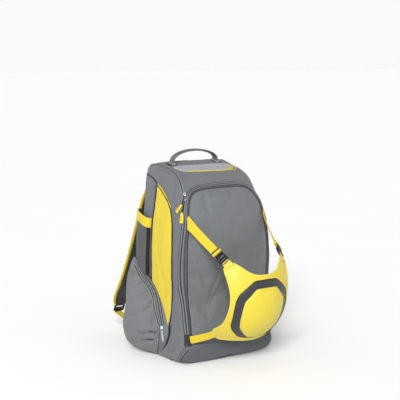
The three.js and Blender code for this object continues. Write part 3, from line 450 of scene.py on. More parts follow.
def stitches(path, normals, pitch=4.0, length=2.6, radius=0.35, lift=0.25):
    """A row of short raised threads."""
    path, normals = np.asarray(path, float), np.asarray(normals, float)
    steps = np.linalg.norm(np.diff(path, axis=0), axis=1)
    along = np.concatenate([[0], np.cumsum(steps)])
    shape = Shape()
    for at in np.arange(pitch, along[-1] - pitch, pitch):
        ends = []
        for shift in (-0.5, -0.3, 0.3, 0.5):
            where = at + shift * length
            p = np.array([np.interp(where, along, path[:, i]) for i in range(3)])
            n = unit(np.array([np.interp(where, along, normals[:, i]) for i in range(3)]))
            ends.append(p + n * (lift if abs(shift) < 0.4 else 0.0))
            normal = n
        scale = [0.4, 1.0, 1.0, 0.4]
        verts, faces = strip(np.array(ends), np.array([normal] * 4), round_section(radius, 5), scale=scale)
        shape.add(verts, faces)
    return shape


def noise_at(points, size, seed=0.0):
    return np.array([noise.noise(Vector((p[0] / size + seed, p[1] / size - seed, p[2] / size + 2 * seed)))
                     for p in points])


def crease(points, a, b, width, depth):
    """A soft groove or ridge along the line from a to b, fading at its ends."""
    a, b = np.asarray(a, float), np.asarray(b, float)
    ab = b - a
    t = np.clip(((points - a) @ ab) / (ab @ ab), 0, 1)
    away = np.linalg.norm(points - (a + t[:, None] * ab), axis=1)
    return depth * np.exp(-(away / width) ** 2) * np.sin(np.pi * np.clip(t, 0.06, 0.94)) ** 0.6


def creases(points, rows):
    """All creases of a table. Columns: start, end, width, depth, which is out where positive."""
    return sum(crease(points, *row) for row in rows)


class Surface:
    """A mesh that other pieces are laid on."""

    def __init__(self, verts, faces):
        self.verts = np.asarray(verts, float)
        self.faces = faces
        normals = np.zeros_like(self.verts)
        for face in faces:
            p = self.verts[list(face)]
            n = np.cross(p[2] - p[0], p[-1] - p[1])
            for i in face:
                normals[i] += n
        self.normals = unit(normals)
        self.tree = BVHTree.FromPolygons([tuple(v) for v in self.verts], faces)

    def _smooth(self, spot, index):
        ids = list(self.faces[index])
        spot = np.array(spot)
        away = np.linalg.norm(self.verts[ids] - spot, axis=1)
        weight = 1.0 / (away + 0.05)
        return spot, unit((self.normals[ids] * weight[:, None]).sum(0))

    def cast(self, origin, direction):
        spot, _, index, _ = self.tree.ray_cast(Vector(origin), Vector(direction))
        if spot is None:
            spot, _, index, _ = self.tree.find_nearest(Vector(origin))
        return self._smooth(spot, index)

    def near(self, point):
        spot, _, index, _ = self.tree.find_nearest(Vector(point))
        return self._smooth(spot, index)

    def lay(self, points, lift=0.0):
        """Points moved onto the surface, with its normals."""
        found = [self.near(p) for p in points]
        points, normals = parts(found)
        return points + lift * normals, normals


def puffed(verts, faces, pins, cap, pressure=4.0, spare=0.0, stiff=15.0, bend=0.5, frames=20):
    """The piece after a cloth simulation under pressure. pins are the points that stay, spare is the
    share of extra cloth and cap how far a point may move."""
    verts = np.asarray(verts, float)
    mesh = bpy.data.meshes.new("puff")
    mesh.from_pydata(world(verts).tolist(), [], [tuple(int(i) for i in face) for face in faces])
    made = bpy.data.objects.new("puff", mesh)
    scene.collection.objects.link(made)
    held = made.vertex_groups.new(name="held")
    held.add([int(i) for i in pins], 1.0, "REPLACE")
    cloth_mod = made.modifiers.new("cloth", "CLOTH")
    settings = cloth_mod.settings
    settings.quality = 6
    settings.use_pressure = True
    settings.uniform_pressure_force = pressure
    settings.tension_stiffness = stiff
    settings.compression_stiffness = stiff
    settings.bending_stiffness = bend
    settings.shrink_min = -spare
    settings.vertex_group_mass = "held"
    settings.effector_weights.gravity = 0.0
    cloth_mod.point_cache.frame_start = 1
    cloth_mod.point_cache.frame_end = frames
    for step in range(1, frames + 1):
        scene.frame_set(step)
    graph = bpy.context.evaluated_depsgraph_get()
    moved = np.array([v.co for v in made.evaluated_get(graph).data.vertices])
    moved = moved * 1000.0 - np.array([0.0, REAR, 0.0])
    scene.frame_set(1)
    bpy.data.objects.remove(made)
    bpy.data.meshes.remove(mesh)
    shift = moved - verts
    length = np.linalg.norm(shift, axis=1, keepdims=True)
    return verts + shift * np.minimum(1.0, cap / np.maximum(length, 1e-6))


def patch_faces(rings, around):
    """Faces of closed rings, edge first, and a middle point."""
    faces = grid(rings, around, wrap=True)
    hub = rings * around
    base = (rings - 1) * around
    faces += [(base + i, base + (i + 1) % around, hub) for i in range(around)]
    return faces


def disc_patch(outline, centre, steps, place, profile, dense=1.4):
    """A panel with the given outline. place gives its point and normal, profile its lift by the
    distance from the edge."""
    outline, centre = np.asarray(outline, float), np.asarray(centre, float)
    reach = np.linalg.norm(outline - centre, axis=1)
    verts, normals = [], []
    for share in 1 - np.linspace(0, 1, steps, endpoint=False) ** dense:
        for (u, v), r in zip(centre + (outline - centre) * share, reach):
            point, normal = place(u, v)
            verts.append(point + profile((1 - share) * r) * normal)
            normals.append(normal)
    point, normal = place(*centre)
    verts.append(point + profile(reach.min()) * normal)
    normals.append(normal)
    return np.array(verts), np.array(normals), patch_faces(steps, len(outline))


def thicken(verts, normals, faces, depth):
    """A closed shell: the given skin, its copy further in, and the edge between them."""
    count = len(verts)
    edges = {}
    for face in faces:
        for i in range(len(face)):
            a, b = face[i], face[(i + 1) % len(face)]
            edges[(a, b)] = edges.get((a, b), 0) + 1
    border = [(a, b) for (a, b) in edges if (b, a) not in edges]
    shape = Shape()
    both = np.concatenate([verts, verts - depth * normals])
    whole = list(faces) + [tuple(i + count for i in face[::-1]) for face in faces]
    whole += [(b, a, a + count, b + count) for a, b in border]
    shape.add(both, whole)
    return shape


def cushion(top, width, start=0.0, power=2.0):
    """Lift that rises from the edge and levels out at its full height."""
    def lift(distance):
        t = min(1.0, max(0.0, distance / width))
        return start + (top - start) * (1 - (1 - t) ** power)
    return lift


def chaikin(points, times=2, share=0.25):
    """A closed line with its corners cut, so that short straight runs read as a curve."""
    p = np.asarray(points, float)
    for _ in range(times):
        ahead = np.roll(p, -1, 0)
        p = np.stack([p + share * (ahead - p), ahead - share * (ahead - p)], 1).reshape(-1, p.shape[1])
    return p


def line_on(surface, points, count, lift=0.0):
    """A smooth line through rough points, laid on a surface, with its normals and sideways
    directions."""
    path, normals = surface.lay(spline(points, count), lift)
    for _ in range(2):
        normals[1:-1] = unit(normals[:-2] + 2 * normals[1:-1] + normals[2:])
    return path, normals, unit(np.cross(tangents(path), normals))


def cord(shape, line, shift, lift, section, kind=0, scale=None):
    """A section swept beside a line on a surface: shift is its way to the side, lift its way out."""
    path, normals, across = line
    shape.add(*strip(path + shift * across + lift * normals, normals, section, scale=scale), kind)


# Main compartment. Columns: back, front, inset, depth, front width, back width, crown.
FOOT, HEIGHT, DEPTH, HALF = 7.0, 537.0, 250.0, 160.0
SLICES = np.array([
    (0.000, 0.000, 0.018, 0.820, 0.960, 0.970, 0.030), (0.010, 0.010, 0.004, 0.876, 0.985, 0.985, 0.042),
    (0.042, 0.042, 0.000, 0.918, 0.985, 0.990, 0.055), (0.098, 0.098, 0.000, 0.940, 0.970, 0.995, 0.065),
    (0.212, 0.212, 0.000, 0.935, 0.963, 1.000, 0.065), (0.324, 0.324, 0.000, 0.892, 0.963, 1.000, 0.060),
    (0.455, 0.455, 0.000, 0.896, 0.950, 0.990, 0.060), (0.576, 0.576, 0.000, 0.904, 0.940, 0.975, 0.060),
    (0.678, 0.669, 0.000, 0.892, 0.920, 0.957, 0.065), (0.776, 0.761, 0.000, 0.856, 0.875, 0.925, 0.070),
    (0.836, 0.808, 0.000, 0.824, 0.844, 0.906, 0.072), (0.891, 0.854, 0.000, 0.768, 0.800, 0.887, 0.076),
    (0.933, 0.901, 0.000, 0.690, 0.781, 0.869, 0.076), (0.961, 0.931, 0.004, 0.620, 0.775, 0.850, 0.068),
    (0.981, 0.955, 0.012, 0.530, 0.756, 0.825, 0.056), (0.993, 0.970, 0.024, 0.420, 0.725, 0.790, 0.036),
    (1.000, 0.979, 0.048, 0.340, 0.660, 0.740, 0.020)])
BACK_CORNER, FRONT_CORNER, SIDE_BULGE = 26.0, 20.0, 3.0


def level(share):
    return FOOT + HEIGHT * share


def front_half(z):
    return HALF * pchip(SLICES[:, 1], SLICES[:, 4], (np.asarray(z, float) - FOOT) / HEIGHT)


def back_half(z):
    return HALF * pchip(SLICES[:, 0], SLICES[:, 5], (np.asarray(z, float) - FOOT) / HEIGHT)


def body_ring(row):
    back, front, inset, depth, front_wide, back_wide, crown = row
    y_back, y_front = -inset * DEPTH, -depth * DEPTH
    x_back, x_front = back_wide * HALF, front_wide * HALF
    flat_back, flat_front = x_back - BACK_CORNER, x_front - FRONT_CORNER
    s = np.linspace(0, 1, 22, endpoint=False)
    parts = [np.stack([flat_back * s, y_back + 0 * s], 1)]
    a = np.linspace(math.pi / 2, 0, 10, endpoint=False)
    parts.append(np.stack([flat_back + BACK_CORNER * np.cos(a),
                           y_back - BACK_CORNER + BACK_CORNER * np.sin(a)], 1))
    s = np.linspace(0, 1, 46, endpoint=False)
    length = y_back - BACK_CORNER - (y_front + FRONT_CORNER)
    wide = x_back + (x_front - x_back) * s + SIDE_BULGE * 4 * s * (1 - s)
    parts.append(np.stack([wide, y_back - BACK_CORNER - length * s], 1))
    a = np.linspace(0, -math.pi / 2, 9, endpoint=False)
    parts.append(np.stack([flat_front + FRONT_CORNER * np.cos(a),
                           y_front + FRONT_CORNER + FRONT_CORNER * np.sin(a)], 1))
    s = np.linspace(1, 0, 38)
    parts.append(np.stack([flat_front * s, y_front - crown * DEPTH * (1 - s * s)], 1))
    half = np.concatenate(parts)
    flat = np.concatenate([half, half[-2:0:-1] * np.array([-1.0, 1.0])])
    share = (flat[:, 1] - y_front) / (y_back - y_front)
    return np.column_stack([flat, level(front + (back - front) * share)])


def body_mesh():
    front_steps = np.hypot(np.diff(SLICES[:, 1]) * HEIGHT, np.diff(SLICES[:, 3]) * DEPTH)
    back_steps = np.hypot(np.diff(SLICES[:, 0]) * HEIGHT, np.diff(SLICES[:, 2]) * DEPTH)
    along = np.concatenate([[0], np.cumsum((front_steps + back_steps) / 2)])
    at = np.unique(np.concatenate([np.linspace(0, along[-1], 118), np.linspace(0, 30, 8),
                                   along[-1] - np.linspace(0, 30, 6)]))
    rows = np.stack([pchip(along, SLICES[:, c], at) for c in range(7)], 1)
    rings = [body_ring(row) for row in rows]
    count = len(rings[0])
    for share, rise in ((0.93, 1.6), (0.82, 3.0), (0.66, 4.2), (0.45, 5.0), (0.22, 5.4)):
        middle = rings[len(rows) - 1].mean(0)
        rings.append(middle + (rings[len(rows) - 1] - middle) * share + np.array([0, 0, rise]))
    verts = np.concatenate(rings + [rings[-1].mean(0)[None] + [0, 0, 0.1], rings[0].mean(0)[None]])
    faces = [face[::-1] for face in grid(len(rings), count, wrap=True)]
    top, low, base = len(rings) * count, len(rings) * count + 1, (len(rings) - 1) * count
    faces += [(base + (i + 1) % count, base + i, top) for i in range(count)]
    faces += [(i, (i + 1) % count, low) for i in range(count)]
    return verts, faces


BODY_CREASES = (
    ((160, -158, 20), (157, -206, 46), 6.5, -2.8), ((157, -186, 70), (157, -190, 330), 6.0, -1.7),
    ((158, -176, 150), (154, -190, 420), 9.0, 1.6), ((132, -40, 508), (138, -132, 436), 11.0, 2.2),
    ((120, -150, 500), (140, -150, 430), 7.0, -1.8), ((104, -122, 522), (60, -166, 505), 8.0, -1.6),
    ((66, -128, 522), (24, -176, 500), 10.0, 1.5))


def slack(points):
    """How far the filled cloth stands out or in at each place."""
    side = points.copy()
    side[:, 0] = np.abs(side[:, 0])
    amount = creases(side, BODY_CREASES)
    for height, size, seed in ((2.1, 95.0, 2.0), (1.2, 40.0, 7.0), (0.35, 17.0, 3.0)):
        amount += height * noise_at(points, size, seed)
    return amount * np.clip((points[:, 2] - 10) / 22, 0, 1)


def pucker(points, away, height=0.55, run=7.5, reach=11.0):
    """Small gathers that run in from a sewn edge."""
    points = np.asarray(points, float)
    wave = np.array([noise.noise(Vector((p[0] / run, p[2] / run, p[1] / (3 * run)))) for p in points])
    return height * wave * np.exp(-(np.asarray(away, float) / reach) ** 2)


body_verts, body_faces = body_mesh()
bare = Surface(body_verts, body_faces)
body_verts = body_verts + slack(body_verts)[:, None] * bare.normals
BODY = Surface(body_verts, body_faces)


def front_place(x, z):
    return BODY.cast((x, -500, z), (0, 1, 0))


def side_place(y, z):
    return BODY.cast((500, y, z), (-1, 0, 0))


def top_place(x, y):
    return BODY.cast((x, y, 900), (0, 0, -1))


make("bag_body", Shape().add(body_verts, body_faces), "grey", ["main_compartment"])


# Front door, its zip and the pocket across its foot
# The zip's outer and inner edges on the right half, from the foot up to the middle of the arch
ZIP_OUTER = [(147, -231, 56), (148.9, -227, 101), (150.1, -223, 136), (150.8, -216, 175),
             (152.6, -209.5, 204),
             (153.2, -205, 229), (151.6, -204, 290), (148.9, -208, 337), (141.4, -207, 392), (133, -202,
                     432),
             (123.5, -193.5, 457), (111.7, -186, 474), (96, -182, 484), (74, -181, 490), (50, -183, 494),
             (25, -184, 495.5), (0, -184, 496)]
ZIP_INNER = [(130.0, -238, 56), (130.8, -235, 95), (132.4, -226, 165), (136.0, -224, 241),
             (136.4, -225, 297),
             (135.2, -224, 338), (129.7, -221, 374), (125.2, -215, 408), (122.0, -210, 428), (115.5, -203,
                     447),
             (104.4, -195, 464), (90, -190, 474.5), (70, -191, 480.5), (48, -193, 482.5), (24, -195, 483.5),
             (0, -196, 483.5)]


def whole_line(points, count):
    """The line of the right half and its mirror image, from foot to foot."""
    right = spline(points, count)
    return np.vstack([right, right[-2::-1] * np.array([-1.0, 1.0, 1.0])])


outer_edge, inner_edge = whole_line(ZIP_OUTER, 190), whole_line(ZIP_INNER, 190)
door_loop = inner_edge[:, [0, 2]]
door_loop = loop_of(door_loop, 240)


# Slack folds below the strap's seam and along the door's foot
DOOR_CREASES = (
    ((128, -218, 372), (70, -232, 250), 8.0, -2.6), ((129, -220, 330), (92, -232, 210), 7.0, 2.0),
    ((132, -222, 250), (88, -236, 120), 9.0, -2.4), ((128, -226, 170), (70, -240, 96), 8.0, 2.0))
verts, normals, faces = disc_patch(door_loop, (0, 270), 52, front_place, cushion(2.4, 10, -0.8))
away = from_edge(door_loop, verts)
verts = puffed(verts, faces, np.where(away < 4.0)[0], 6.5, pressure=0.6, spare=0.012, bend=2.0)
folds = creases(verts, DOOR_CREASES) + creases(verts * [-1, 1, 1], DOOR_CREASES)
verts += (folds + pucker(verts, away, 0.9, 8.0, 13.0))[:, None] * normals
make("door_panel", thicken(verts, normals, faces, 2.0), "door", ["front_door"])


def band_line(share, lift=0.0):
    """A line between the zip's outer and inner edges."""
    path, normals = BODY.lay(outer_edge * (1 - share) + inner_edge * share)
    for _ in range(3):
        normals[1:-1] = unit(normals[:-2] + 2 * normals[1:-1] + normals[2:])
        path[1:-1] = (path[:-2] + 2 * path[1:-1] + path[2:]) / 4
    return path + lift * normals, normals


zips = Shape()
columns = [band_line(s, lift) for s, lift in ((0.0, -0.4), (0.06, 1.0), (0.3, 1.3), (0.6, 1.2), (0.94, 1.0),
                                               (1.0, -0.6))]
skin = np.stack([p for p, _ in columns], 1).reshape(-1, 3)
skin_normals = np.stack([n for _, n in columns], 1).reshape(-1, 3)
tape = thicken(skin, skin_normals, grid(len(outer_edge), 6), 1.6)
zips.add(tape.all(), tape.faces, 0)
gap = np.linalg.norm(outer_edge - inner_edge, axis=1)
ridge = np.clip(gap * 0.125, 1.35, 2.3)
for share, size, lift, kind in ((0.02, 1.15, 0.7, 2), (0.20, None, 1.5, 1), (0.36, 0.9, 1.7, 2),
                                (0.52, None, 1.5, 1),
                                (0.68, 0.8, 1.3, 2), (0.99, 1.0, 0.9, 2)):
    path, normals = band_line(share, lift)
    if size is None:
        zips.add(*strip(path, normals, round_section(1.0, 10, 0.85), scale=ridge), kind)
    else:
        zips.add(*strip(path, normals, round_section(size, 7)), kind)
make("door_zip", zips, ["tape", "rib", "dark_seam"], ["front_zip"])

# Piped seam over each shoulder, from the back edge down to the zip
SHOULDER = [(120, -16, 530), (113, -42, 537), (106, -72, 535), (107, -100, 529), (109.5, -122, 522),
            (114.5, -148, 508.5),
            (117.5, -167, 492), (121, -181, 473), (123.5, -191, 460)]
line = line_on(BODY, SHOULDER, 120)
seams = Shape()
cord(seams, line, 0, 0.5, round_section(1.15, 8), 0)
# The paler ridge cords beside the seam carry a painted highlight.
cord(seams, line, 3.1, 0.3, round_section(2.3, 10, 0.75), 1)
cord(seams, line, -2.2, 0.0, round_section(1.5, 8, 0.75), 1)
make_pair("shoulder_seam", seams, ["dark_seam", "seam_ridge_highlight"])

BOOT = np.array([(1.00, 0.00), (1.00, 0.35), (0.96, 0.63), (0.88, 0.82), (0.63, 0.94), (0.30, 1.00)])
boot_low, boot_top, boot_half = 8.1, 68.0, 155.0
boot_right = np.stack([BOOT[:, 0] * boot_half, boot_low + BOOT[:, 1] * (boot_top - boot_low)], 1)
boot_edge = chaikin(np.vstack([[[0, boot_low]], boot_right, boot_right[::-1] * np.array([-1.0, 1.0])]), 3)
boot_edge = loop_of(boot_edge, 200)


def boot_profile(distance):
    return 1.0 + 6.4 * (1 - (1 - min(1.0, distance / 16.0)) ** 2.2)


verts, normals, faces = disc_patch(boot_edge, (0, 34), 26, front_place, boot_profile)
away = from_edge(boot_edge, verts)
BOOT_CREASES = (((-108, -230, 62), (-84, -240, 34), 6.0, -2.6), ((-74, -236, 64), (-52, -244, 40), 5.0,
        -1.8),
                ((60, -240, 62), (84, -240, 28), 6.0, -2.2))
folds = 1.5 * noise_at(verts, 40.0, 5.0) + creases(verts, BOOT_CREASES)
verts += (folds * np.clip(away / 12, 0, 1))[:, None] * normals
verts += pucker(verts, away, 0.7, 7.0, 9.0)[:, None] * normals
boot = thicken(verts, normals, faces, 1.6)
make("boot_panel", boot, "boot", ["boot_pocket"])
boot_line = boot_edge[(boot_edge[:, 1] > 14)]
start = int(np.argmax(np.abs(np.diff(boot_line[:, 0])) > 60))
boot_line = np.roll(boot_line, -(start + 1), 0) if start else boot_line
found = [front_place(x, z) for x, z in even(boot_line, 220)]
path, normals = parts(found)
line = path, normals, unit(np.cross(tangents(path), normals))
piping = Shape()
for shift, size, lift, kind in ((4.2, 0.9, 0.2, 1), (2.0, 1.8, 1.0, 0), (0.0, 0.9, 1.9, 1),
                                (-2.2, 1.8, 2.6, 0),
                                (-4.6, 0.9, 3.9, 1)):
    cord(piping, line, shift, lift, round_section(size, 8), kind)
make("boot_piping", piping, ["rib", "dark_seam"])


# Top pocket: a pale panel with a piped front edge
def rounded_rectangle(low, high, radius, steps=12):
    corners = ((high[0] - radius, high[1] - radius, 0.0), (low[0] + radius, high[1] - radius, math.pi / 2),
               (low[0] + radius, low[1] + radius, math.pi), (high[0] - radius, low[1] + radius,
                       1.5 * math.pi))
    points = []
    for x, y, turn in corners:
        angle = turn + np.linspace(0, math.pi / 2, steps)
        points.append(np.stack([x + radius * np.cos(angle), y + radius * np.sin(angle)], 1))
    points = np.concatenate(points)
    return loop_of(points, 160)


top_edge = chaikin([(104, -84), (97, -77), (0, -76), (-84, -74), (-90, -80), (-84, -104), (-74, -117),
                    (-58, -123),
                    (0, -131), (84, -132), (97, -126), (105, -112)], 3)
top_edge = loop_of(top_edge, 180)
verts, normals, faces = disc_patch(top_edge, (0, -106), 18, top_place, cushion(2.6, 9, -0.8))
verts += (0.9 * noise_at(verts, 30.0, 9.0))[:, None] * normals
make("top_pocket_panel", thicken(verts, normals, faces, 2.0), "pale", ["top_pocket"])


# Seams down the back corners, and the yoke that the shoulder straps are sewn under
back_edge = [(float(back_half(z)) - 9.0, -6.0, z) for z in (14, 40, 90, 150, 210, 280, 350, 410, 450, 480)]
back_edge += [(132, -5, 500), (127, -8, 518), (121, -14, 529)]
line = line_on(BODY, back_edge, 200)
seams = Shape()
cord(seams, line, 0, 0.7, round_section(1.5, 8), 0)
cord(seams, line, 3.0, 0.2, round_section(1.4, 8, 0.7), 1)
make_pair("back_edge_seam", seams, ["dark_seam", "seam_ridge_highlight"])
yoke = [(-96, 0, 498), (-60, 0, 507), (0, 0, 510), (60, 0, 507), (96, 0, 498)]
line = path, normals, across = line_on(BODY, yoke, 90)
seams = Shape()
cord(seams, line, 0, 0.4, tape_section(7.0, 2.0), 0)
for shift in (-5.2, 5.2):
    sewn = stitches(path + shift * across + 2.3 * normals, normals, 4.4, 2.8, 0.4)
    seams.add(sewn.all(), sewn.faces, 1)
make("strap_yoke", seams, ["black_tape", "thread"])


# Yellow leaf on each side, with its piped front edge
LEAF = np.array([
    (0.127, 0.660, 0.640), (0.165, 0.668, 0.610), (0.232, 0.696, 0.520), (0.311, 0.712, 0.400),
    (0.391, 0.718, 0.315), (0.577, 0.704, 0.292), (0.708, 0.672, 0.288), (0.794, 0.600, 0.300),
    (0.846, 0.490, 0.310), (0.880, 0.395, 0.310), (0.906, 0.308, 0.304)])


def leaf_edge(column, heights):
    return -DEPTH * pchip(LEAF[:, 0], LEAF[:, column], heights)


leaf_heights = np.linspace(LEAF[0, 0], LEAF[-1, 0], 110)
leaf_front, leaf_rear = leaf_edge(1, leaf_heights), leaf_edge(2, leaf_heights)
verts, normals, gaps = [], [], []
for share, near, far in zip(leaf_heights, leaf_front, leaf_rear):
    for s in np.linspace(0, 1, 34):
        point, normal = side_place(near + (far - near) * s, level(share))
        gap = min(s, 1 - s) * abs(far - near)
        verts.append(point + cushion(1.8, 9, -0.5)(gap) * normal)
        normals.append(normal)
        gaps.append(gap)
verts, normals, gaps = np.array(verts), np.array(normals), np.array(gaps)
LEAF_CREASES = (((150, -150, 420), (157, -120, 250), 12.0, 1.8), ((155, -100, 330), (158, -150, 190), 9.0,
        -1.6),
                ((150, -96, 430), (154, -84, 330), 8.0, 1.4))
loose = creases(verts, LEAF_CREASES) + 1.5 * noise_at(verts, 34.0, 5.0)
verts += (loose * np.clip(gaps / 14, 0, 1) + pucker(verts, gaps, 0.6, 8.0, 9.0))[:, None] * normals
leaf = thicken(verts, normals, grid(len(leaf_heights), 34), 1.8)
make_pair("leaf_panel", leaf, "leaf", ["side_panel"])
front_line = [(0, y, level(h)) for y, h in zip(leaf_front, leaf_heights)]
front_line = [(150, y, z) for _, y, z in front_line[::6]] + [(137.5, -56, 503), (138, -34, 510),
        (136, -12, 514)]
line = line_on(BODY, front_line, 200)
edges = Shape()
cord(edges, line, 0, 1.0, round_section(1.6, 8), 0)
cord(edges, line, 3.0, 0.4, round_section(1.6, 8, 0.7), 1)
# Dark cord and dark tape along the leaf's rear edge: partly piping, partly painted shade of the gap before
# the sleeve.
rear_line = [(150, y + 1.5, level(h)) for y, h in list(zip(leaf_rear, leaf_heights))[6::6]]
line = line_on(BODY, rear_line, 180)
cord(edges, line, 0, 0.8, round_section(1.3, 8), 0)
line = line_on(BODY, [(x, y + 4.5, z) for x, y, z in rear_line[4:]], 120)
cord(edges, line, 0, 0, tape_section(3.4, 1.4), 2)
make_pair("leaf_piping", edges, ["dark_seam", "seam_ridge_highlight", "tape"])


# Side sleeve with its yellow mouth band
SLEEVE_FRONT, SLEEVE_BACK, SLEEVE_OUT = 66.0, 5.0, 22.0
SLEEVE_LOW, SLEEVE_MOUTH, BAND, SLOPE = 24.0, 392.0, 27.0, 0.38


def sleeve_arc(z, grow, slope, columns=44, swell=1.0):
    s = np.linspace(0, 1, columns)
    tuck = 6.0 * np.clip((270.0 - z) / 40.0, 0, 1)
    front, back = -SLEEVE_FRONT - grow, -SLEEVE_BACK + grow - tuck
    y = front + (back - front) * s
    out = swell * (SLEEVE_OUT + grow) * np.sqrt(np.maximum(0, 1 - (2 * s - 1) ** 4))
    x = back_half(z) - 3.0 + out
    return np.stack([x, y, z + slope * (y - front)], 1)


def c_shell(outer_rows, inner_rows, kinds=(0, 1)):
    """A closed wall between an outer and an inner set of rows, open along its root."""
    rows, columns = len(outer_rows), len(outer_rows[0])
    verts = np.concatenate([np.concatenate([o, i[::-1]]) for o, i in zip(outer_rows, inner_rows)])
    n = 2 * columns
    shape = Shape()
    faces, inside = [], []
    for face in grid(rows, n, wrap=True):
        (inside if columns <= min(v % n for v in face[:1]) < n - 1 else faces).append(face)
    ends = []
    for base, turn in ((0, 1), ((rows - 1) * n, -1)):
        for c in range(columns - 1):
            ends.append((base + c, base + n - 1 - c, base + n - 2 - c, base + c + 1)[::turn])
    shape.add(verts, faces + ends, kinds[0])
    shape.faces += inside
    shape.kinds += [kinds[1]] * len(inside)
    return shape


sleeve_rows = np.concatenate([np.linspace(0, 0.05, 8, endpoint=False), np.linspace(0.05, 1, 82)])
outer, inner = [], []
for share in sleeve_rows:
    z = SLEEVE_LOW + (SLEEVE_MOUTH - SLEEVE_LOW) * share
    foot = math.sqrt(1 - (1 - min(1.0, share / 0.05)) ** 2)
    outer.append(sleeve_arc(z, 0.0, SLOPE * share, swell=max(0.12, foot)))
    inner.append(sleeve_arc(z, -2.0, SLOPE * share, swell=max(0.05, 0.97 * foot)))


def sag(points, size, depth, seed):
    squash = np.asarray(points) * np.array([1.0, 1.0, 0.55])
    return depth * noise_at(squash, size, seed)


for rows in (outer, inner):
    for i, share in enumerate(sleeve_rows):
        s = np.linspace(-1, 1, len(rows[i]))
        calm = (1 - s ** 4) * min(1.0, (1 - share) * 6 + 0.25)
        rows[i][:, 0] += (sag(rows[i], 42.0, 3.0, 4.0) + sag(rows[i], 18.0, 1.3, 6.0) - 0.6) * calm
sleeve = c_shell(outer, inner)
# Black tape on the sleeve's front edge columns: partly a black binding, partly painted shade of the gap
# between sleeve and leaf.
ring_size = 2 * len(outer[0])
for i, face in enumerate(sleeve.faces):
    if sleeve.kinds[i] == 0 and len(face) == 4 and max(v % ring_size for v in face) <= 4:
        sleeve.kinds[i] = 2
# The sleeve's inner wall takes the near-black cloth as painted shade.
make_pair("sleeve", sleeve, ["sleeve", "inside", "black_tape"], ["side_sleeve"])
outer, inner = [], []
for share, over, under in ((0, 0.4, 0.2), (0.04, 1.5, 0.2), (0.10, 1.9, 0.2), (0.35, 1.8, 0.2),
                           (0.65, 1.9, 0.2),
                           (0.90, 1.9, 0.2), (0.97, 1.5, -1.6), (1.03, 0.4, -1.0), (1.045, -0.3, -0.6)):
    z = SLEEVE_MOUTH - BAND + BAND * share
    outer.append(sleeve_arc(z, over, SLOPE))
    inner.append(sleeve_arc(z, under - 0.6, SLOPE))
# The band's inner faces take the darker yellow as painted shade.
make_pair("mouth_band", c_shell(outer, inner), ["web", "web_inner_shade"], ["sleeve_band"])


# Side pocket
POCKET = np.array([
    (0.000, 0.660, 0.300), (0.048, 0.750, 0.580), (0.112, 0.840, 0.830), (0.204, 0.950, 0.965),
    (0.316, 0.977, 1.000), (0.431, 0.918, 0.950), (0.606, 0.767, 0.840), (0.792, 0.465, 0.690),
    (0.877, 0.308, 0.570), (0.952, 0.170, 0.440), (1.000, 0.076, 0.310)])
POCKET_LOW, POCKET_HEIGHT, POCKET_OUT, POCKET_REACH = 8.0, 266.0, 72.0, 172.0
CREST = 0.78


def pocket_front(z):
    return -POCKET_REACH * pchip(POCKET[:, 0], POCKET[:, 1],
                                 (np.asarray(z, float) - POCKET_LOW) / POCKET_HEIGHT)


def pocket_rise(s):
    s = np.asarray(s, float)
    early = 1 - np.maximum(0, 1 - s / CREST) ** 1.7
    late = 1 - np.maximum(0, (s - CREST) / (1 - CREST)) ** 3
    return np.where(s < CREST, early, late)


def pocket_arc(share, columns=64):
    z = POCKET_LOW + POCKET_HEIGHT * share
    front = pocket_front(z)
    bulge = pchip(POCKET[:, 0], POCKET[:, 2], share)
    s = np.concatenate([np.linspace(0, CREST, columns - 18, endpoint=False), np.linspace(CREST, 1, 18)])
    out = bulge * POCKET_OUT * pocket_rise(s)
    return np.stack([back_half(z) - 1.5 + out, front + (-5.0 - front) * s, 0 * s + z], 1), s


# Folds that run back from the zip's lower end, and slack across the pocket
POCKET_CREASES = (
    ((182, -142, 81), (214, -94, 75), 5.0, -7.0), ((182, -142, 92), (216, -92, 88), 6.0, 3.6),
    ((183, -136, 56), (208, -96, 51), 5.0, -6.0), ((183, -138, 68), (212, -94, 63), 6.0, 3.8),
    ((180, -143, 106), (176, -139, 50), 4.5, -3.4), ((198, -100, 116), (226, -50, 128), 9.0, -1.8),
    ((186, -96, 186), (204, -30, 214), 9.0, 1.8), ((206, -84, 28), (226, -40, 62), 9.0, -2.0))


rows = []
for share in np.concatenate([np.linspace(0, 0.06, 8, endpoint=False),
                             np.linspace(0.06, 0.94, 78, endpoint=False),
                             np.linspace(0.94, 1.0, 7)]):
    rows.append(pocket_arc(share)[0])
root = [np.concatenate([[r[0] * [0, 1, 1] + [128, 0, 0]], r,
                        [r[-1] * [0, 1, 1] + [128, 0, 0]]]) for r in rows]
count = len(root[0])
pocket_verts = np.concatenate(root)
pocket_faces = grid(len(root), count, wrap=True)
low_hub, high_hub = root[0].mean(0), root[-1].mean(0)
hub = len(pocket_verts)
pocket_verts = np.vstack([pocket_verts, low_hub, high_hub])
last = (len(root) - 1) * count
pocket_faces += [((i + 1) % count, i, hub) for i in range(count)]
pocket_faces += [(last + i, last + (i + 1) % count, hub + 1) for i in range(count)]
rough = Surface(pocket_verts, pocket_faces)
if rough.normals[np.argmax(pocket_verts[:, 0])][0] < 0:
    pocket_faces = [face[::-1] for face in pocket_faces]
    rough = Surface(pocket_verts, pocket_faces)
edge_gap = np.abs(pocket_verts[:, 1] - pocket_front(np.clip(pocket_verts[:, 2], 8, 274)))
calm = np.clip(edge_gap / 22 - 0.6, 0, 1) * np.clip((-5 - pocket_verts[:, 1]) / 12, 0, 1)
held = np.where((edge_gap < 13) | (pocket_verts[:, 0] < back_half(np.clip(pocket_verts[:, 2], 8, 274)) + 3.0)
                | (pocket_verts[:, 1] > -7.0) | (pocket_verts[:, 2] < 9.0))[0]
